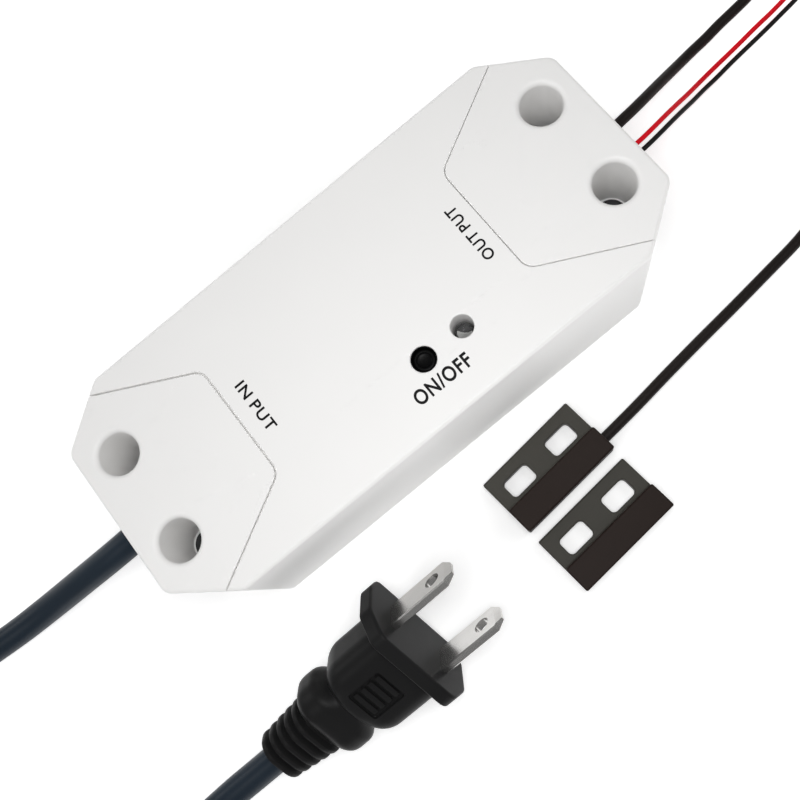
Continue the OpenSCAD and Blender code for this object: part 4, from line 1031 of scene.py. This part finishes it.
# Blades, in the frame of the plug's face
BLADE_HALF = Vector((0.75, 3.175))
BLADE_L = 14.25
BLADE_ROOT = -8.0
BLADE_PITCH = 12.7
BLADE_TIP = 1.55
BLADE_BEVEL = 1.2
BLADE_EDGE = 0.22
BLADE_TIP_EDGE = 0.45
BLADE_HOLE_X = BLADE_L - 4.2
BLADE_HOLE_R = 1.55


def blade_loop(inset, tip_x):
    """Outline of a blade's flat side, as (x, z), cut off square at its tip."""
    cut = BLADE_L - tip_x
    half = BLADE_HALF.y
    corner_z = half - max(BLADE_TIP - cut, 0)
    return [(BLADE_ROOT, inset - half), (BLADE_L - BLADE_TIP, inset - half), (tip_x, inset - corner_z),
            (tip_x, corner_z - inset), (BLADE_L - BLADE_TIP, half - inset), (BLADE_ROOT, half - inset)]


def plug_blades(place):
    """Two blades with broken edges, a bevelled tip and a hole each."""
    skin = Skin()
    hole = [(BLADE_HOLE_X + p.x, p.y) for p in circle(0, 0, BLADE_HOLE_R, 0, 40)]
    for side in (-1, 1):
        middle = side * BLADE_PITCH / 2
        edges = []
        bores = []
        for sign in (-1, 1):
            y = middle + sign * BLADE_HALF.x
            flat = skin.ring([(x, y, z) for x, z in blade_loop(BLADE_EDGE, BLADE_L - BLADE_BEVEL)])
            points = []
            for x, z in blade_loop(0.0, BLADE_L):
                drop = BLADE_EDGE if x < BLADE_L else BLADE_TIP_EDGE
                points.append((x, y - sign * drop, z))
            edge = skin.ring(points)
            rim = skin.ring([(x, y, z) for x, z in hole])
            skin.fill(flat, [rim])
            skin.band(flat, edge)
            edges.append(edge)
            bores.append(rim)
        skin.band(*edges)
        skin.band(*bores)
    return piece(solid("plug_pins", skin, place), "blade_nickel", ["plug_blades"], sharp=20)


plug, plug_bars, plug_place = plug_body()
pins = plug_blades(plug_place)


# Sensor and magnet blocks
BLOCK_H = 5.2
BLOCK_FLANGE_T = 2.5
STEP_Y = RAISED_W - BLOCK_W / 2
SLOT_Y = STEP_Y + 2.75
SLOT = Vector((6.0, 3.7))
SLOT_PITCH = 11.0
SLOT_R = 0.9
SLOT_ROUND = 0.25
SLOT_STEPS = 5
BLOCK_SKIN = 0.8
BLOCK_ROUND = 0.35
HOLLOW = Vector((BLOCK_L - 2 * BLOCK_SKIN, RAISED_W - 2 * BLOCK_SKIN))
HOLLOW_R = 0.3
STEP_MARGIN = 0.02
# Section across a block, from its underside round by the flange's top and the step
BLOCK_SECTION = [
    (-BLOCK_W / 2, 0, 0.2, 3), (BLOCK_W / 2, 0, 0.2, 3), (BLOCK_W / 2, BLOCK_FLANGE_T, 0.4, 4),
    (STEP_Y, BLOCK_FLANGE_T, 0.25, 4), (STEP_Y, BLOCK_H, 0.4, 4), (-BLOCK_W / 2, BLOCK_H, 0.4, 4),
]


def opening(skin, x, y, size, radius, z, grow=0.0):
    points = rounded_box(x, y, size.x / 2 + grow, size.y / 2 + grow, radius + grow, SLOT_STEPS)
    return skin.level(points, z)


def slotted_block(name, place, replaced, body):
    """Flange with two slots and a raised half that is hollow below, as one closed moulding."""
    skin = Skin()
    arcs = []
    ends = []
    for side in (-1, 1):
        rings = []
        for drop in fillet_drops(BLOCK_ROUND):
            arcs = outline(BLOCK_SECTION, [fillet_inset(BLOCK_ROUND, drop)] * len(BLOCK_SECTION))
            x = side * (BLOCK_L / 2 - drop)
            rings.append(skin.ring([(x, p.x, p.y) for p in joined(arcs)]))
        skin.loft(rings)
        skin.fill(rings[0])
        ends.append(rings[-1])
    near, far = ends
    starts = arc_starts(arcs)
    # The underside and the flange's top have openings, and every other face is a plain band
    under_edge = starts[1] - 1
    top_edge = starts[3] - 1
    skin.band(near, far, skip=(under_edge, top_edge))
    tops = []
    unders = []
    for x in (-SLOT_PITCH / 2, SLOT_PITCH / 2):
        loops = []
        for drop in fillet_drops(SLOT_ROUND):
            grow = fillet_inset(SLOT_ROUND, drop)
            loops.append(opening(skin, x, SLOT_Y, SLOT, SLOT_R, BLOCK_FLANGE_T - drop, grow))
        loops.append(opening(skin, x, SLOT_Y, SLOT, SLOT_R, 0))
        skin.loft(loops)
        tops.append(loops[0])
        unders.append(loops[-1])
    mouth = opening(skin, 0, RAISED_Y, HOLLOW, HOLLOW_R, 0)
    roof = opening(skin, 0, RAISED_Y, HOLLOW, HOLLOW_R, BLOCK_H - BLOCK_SKIN)
    skin.band(mouth, roof)
    skin.fill(roof)
    for i, holes in ((under_edge, [*unders, mouth]), (top_edge, tops)):
        skin.fill([near[i], near[i + 1], far[i + 1], far[i]], holes)
    turn = moved(*place) @ BLOCK_TURN
    made = piece(solid(name, skin, turn), "sensor_grey", [replaced], body)
    # The raised half is darker than the flange
    made.data.materials.append(MATERIALS["sensor_dark"])
    for polygon in made.data.polygons:
        middle = turn.inverted() @ polygon.center / MM
        polygon.material_index = int(middle.y < STEP_Y + STEP_MARGIN and middle.z > BLOCK_FLANGE_T)


slotted_block("sensor_case", SENSOR_PLACE, "sensor_housing", CONTROLLER)
slotted_block("magnet_case", MAGNET_PLACE, "magnet_housing", "magnet")


# Ties and stripped ends
TIE_STEPS = 8
# The tie's bend by the cord's diameter and by the coil's section, and its rounded edge by its thickness
TIE_BEND = (1.6, 0.45)
TIE_EDGE = 0.3
STRANDS = 6
STRAND_R = 0.095
STRAND_SIDES = 8
TIP_L = 6.0
TIP_TWIST = 1.6
TIP_STEPS = 24


def tie_loop(skin, centre, outer_r, turns, layers, pitch, diameter, band, angle):
    """Flat band with rounded corners round one side of a coil."""
    thick, width = band
    depth = pitch * turns / layers + diameter + 2 * TIE_GAP
    height = pitch * (layers - 1) + diameter + 2 * TIE_GAP
    middle = outer_r + diameter / 2 + TIE_GAP - depth / 2
    radius = min(TIE_BEND[0] * diameter, TIE_BEND[1] * min(depth, height)) + thick
    place = Matrix.Translation((*centre, 0)) @ Matrix.Rotation(radians(angle), 4, "Z")
    a, b = depth / 2 + thick, height / 2 + thick
    edge = TIE_EDGE * thick
    side = width / 2
    flat = side - edge
    section = [(edge, -side), (0, -flat), (0, flat), (edge, side),
               (thick - edge, side), (thick, flat), (thick, -flat), (thick - edge, -side)]
    rings = []
    for inset, y in section:
        points = rounded_box(0, 0, a, b, radius, TIE_STEPS, inset)
        rings.append(skin.ring([place @ Vector((middle + p.x, y, b + p.y)) for p in points]))
    skin.looped(rings)


def coil_ties():
    skin = Skin()
    for wound, angle in ((LEAD_WOUND, 180), (CABLE_WOUND, 0), (RED_WOUND, 180), (BLACK_WOUND, 180)):
        tie_loop(skin, *wound, angle)
    piece(solid("cord_ties", skin), "tie_black", ["coil_ties"])


def wire_tips():
    """Strands twisted round a straight one at each stripped end."""
    skin = Skin()
    for route in (RED_COIL, BLACK_COIL):
        for k in range(STRANDS + 1):
            ring_r = 0.0 if k == STRANDS else 2 * STRAND_R
            rings = []
            for i in range(TIP_STEPS + 1):
                t = i / TIP_STEPS
                a = 2 * pi * (k / STRANDS + TIP_TWIST * t)
                centre = route[-1] + Vector((TIP_L * t, ring_r * cos(a), ring_r * sin(a)))
                section = circle(0, 0, STRAND_R, 0, STRAND_SIDES)
                rings.append(skin.ring([centre + Vector((0, p.x, p.y)) for p in section]))
            skin.capped(rings)
    return piece(solid("stripped_ends", skin), "copper", ["wire_tips"])


coil_ties()
tips = wire_tips()


# Printed words on the top
CAP_SHARE = 0.67
WORD_SPACE = 0.6
LETTER_SPACE = 1.12
PRINT_T = 0.01
PRINT_LIFT = 0.012


def printed(name, words, place, angle, cap, length, bold):
    """Generic words with capitals of a given height, length and thickened strokes."""
    letters = bpy.data.curves.new(name, "FONT")
    letters.body = words
    letters.size = cap / CAP_SHARE * MM
    letters.space_word = WORD_SPACE
    letters.space_character = LETTER_SPACE
    letters.align_x = "CENTER"
    letters.align_y = "CENTER"
    letters.offset = bold * MM
    letters.extrude = PRINT_T * MM
    letters.materials.append(MATERIALS["print_black"])
    made = add_object(name, letters)
    bpy.context.view_layer.update()
    stretch = Matrix.Diagonal((length * MM / made.dimensions.x, 1, 1, 1))
    turn = Matrix.Rotation(radians(angle), 4, "Z")
    made.matrix_world = moved(*place, TOP_Z + PRINT_LIFT) @ turn @ stretch
    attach(made, CONTROLLER)


printed("words_on_off", "ON/OFF", place=(4.25, -17.2), angle=0, cap=2.45, length=11.5, bold=0.09)
printed("words_input", "IN PUT", place=(-23.4, 0.3), angle=-90, cap=1.9, length=10.3, bold=0.05)
printed("words_output", "OUT PUT", place=(23.9, -0.3), angle=90, cap=1.9, length=11.8, bold=0.05)


# Stage and light, in metres
FLOOR_HALF = 20.0
FLOOR_Z = -0.0002
# The floor's own light: distances from the middle, and its strength there
GLOW_REACH = (0.035, 0.13)
GLOW = (0.24, 0.88)
WORLD_LIGHT = 0.22
BACKDROP = 1.0
# Name, place, target, size and power of each lamp
LIGHTS = [
    ("back_softbox", (-0.55, 0.65, 0.42), (0, 0, 0), 0.35, 1.1),
    ("left_softbox", (-0.6, -0.13, 0.7), (0, 0, 0), 0.4, 0.75),
    ("right_softbox", (0.6, -0.13, 0.7), (0, 0, 0), 0.4, 0.75),
    ("top_softbox", (0, -0.048, 0.2), (0, -0.01, 0), 0.1, 0.172),
]


def add_floor():
    """Pale floor, lit a little from within further out so that it stays white to the picture's edges."""
    mesh = bpy.data.meshes.new("floor")
    mesh.from_pydata([(x * FLOOR_HALF, y * FLOOR_HALF, 0) for x, y in SQUARE], [], [(0, 1, 2, 3)])
    material = surface("floor_white", (0.96, 0.96, 0.96), 0.8, mottle=0.004, mottle_size=60, grain=0.0,
                       Emission_Color=(1, 1, 1, 1), specular=0.1)
    nodes = material.node_tree.nodes
    links = material.node_tree.links
    place = nodes.new("ShaderNodeTexCoord")
    reach = nodes.new("ShaderNodeVectorMath")
    reach.operation = "LENGTH"
    glow = nodes.new("ShaderNodeMapRange")
    for name, value in zip(("From Min", "From Max", "To Min", "To Max"), GLOW_REACH + GLOW):
        glow.inputs[name].default_value = value
    links.new(place.outputs["Object"], reach.inputs[0])
    links.new(reach.outputs["Value"], glow.inputs["Value"])
    links.new(glow.outputs["Result"], nodes["Principled BSDF"].inputs["Emission Strength"])
    mesh.materials.append(material)
    floor = add_object("floor", mesh)
    floor.location.z = FLOOR_Z


def add_light(name, place, target, size, power):
    light = bpy.data.lights.new(name, "AREA")
    light.shape = "DISK"
    light.size = size
    light.energy = power
    holder = add_object(name, light)
    holder.location = place
    aim = Vector(target) - Vector(place)
    holder.rotation_euler = aim.to_track_quat("-Z", "Y").to_euler()
    holder.visible_camera = False


def add_world():
    """Even light from all round, in front of a white backdrop."""
    world = bpy.data.worlds.new("studio")
    world.use_nodes = True
    nodes = world.node_tree.nodes
    links = world.node_tree.links
    light = nodes["Background"]
    backdrop = nodes.new("ShaderNodeBackground")
    for background, power in ((light, WORLD_LIGHT), (backdrop, BACKDROP)):
        background.inputs["Color"].default_value = (1, 1, 1, 1)
        background.inputs["Strength"].default_value = power
    rays = nodes.new("ShaderNodeLightPath")
    mix = nodes.new("ShaderNodeMixShader")
    links.new(rays.outputs["Is Camera Ray"], mix.inputs[0])
    links.new(light.outputs[0], mix.inputs[1])
    links.new(backdrop.outputs[0], mix.inputs[2])
    links.new(mix.outputs[0], nodes["World Output"].inputs["Surface"])
    bpy.context.scene.world = world


add_floor()
add_world()
for lamp in LIGHTS:
    add_light(*lamp)
bpy.context.scene.view_settings.view_transform = "Standard"
bpy.context.scene.view_settings.look = "None"

bpy.context.view_layer.update()
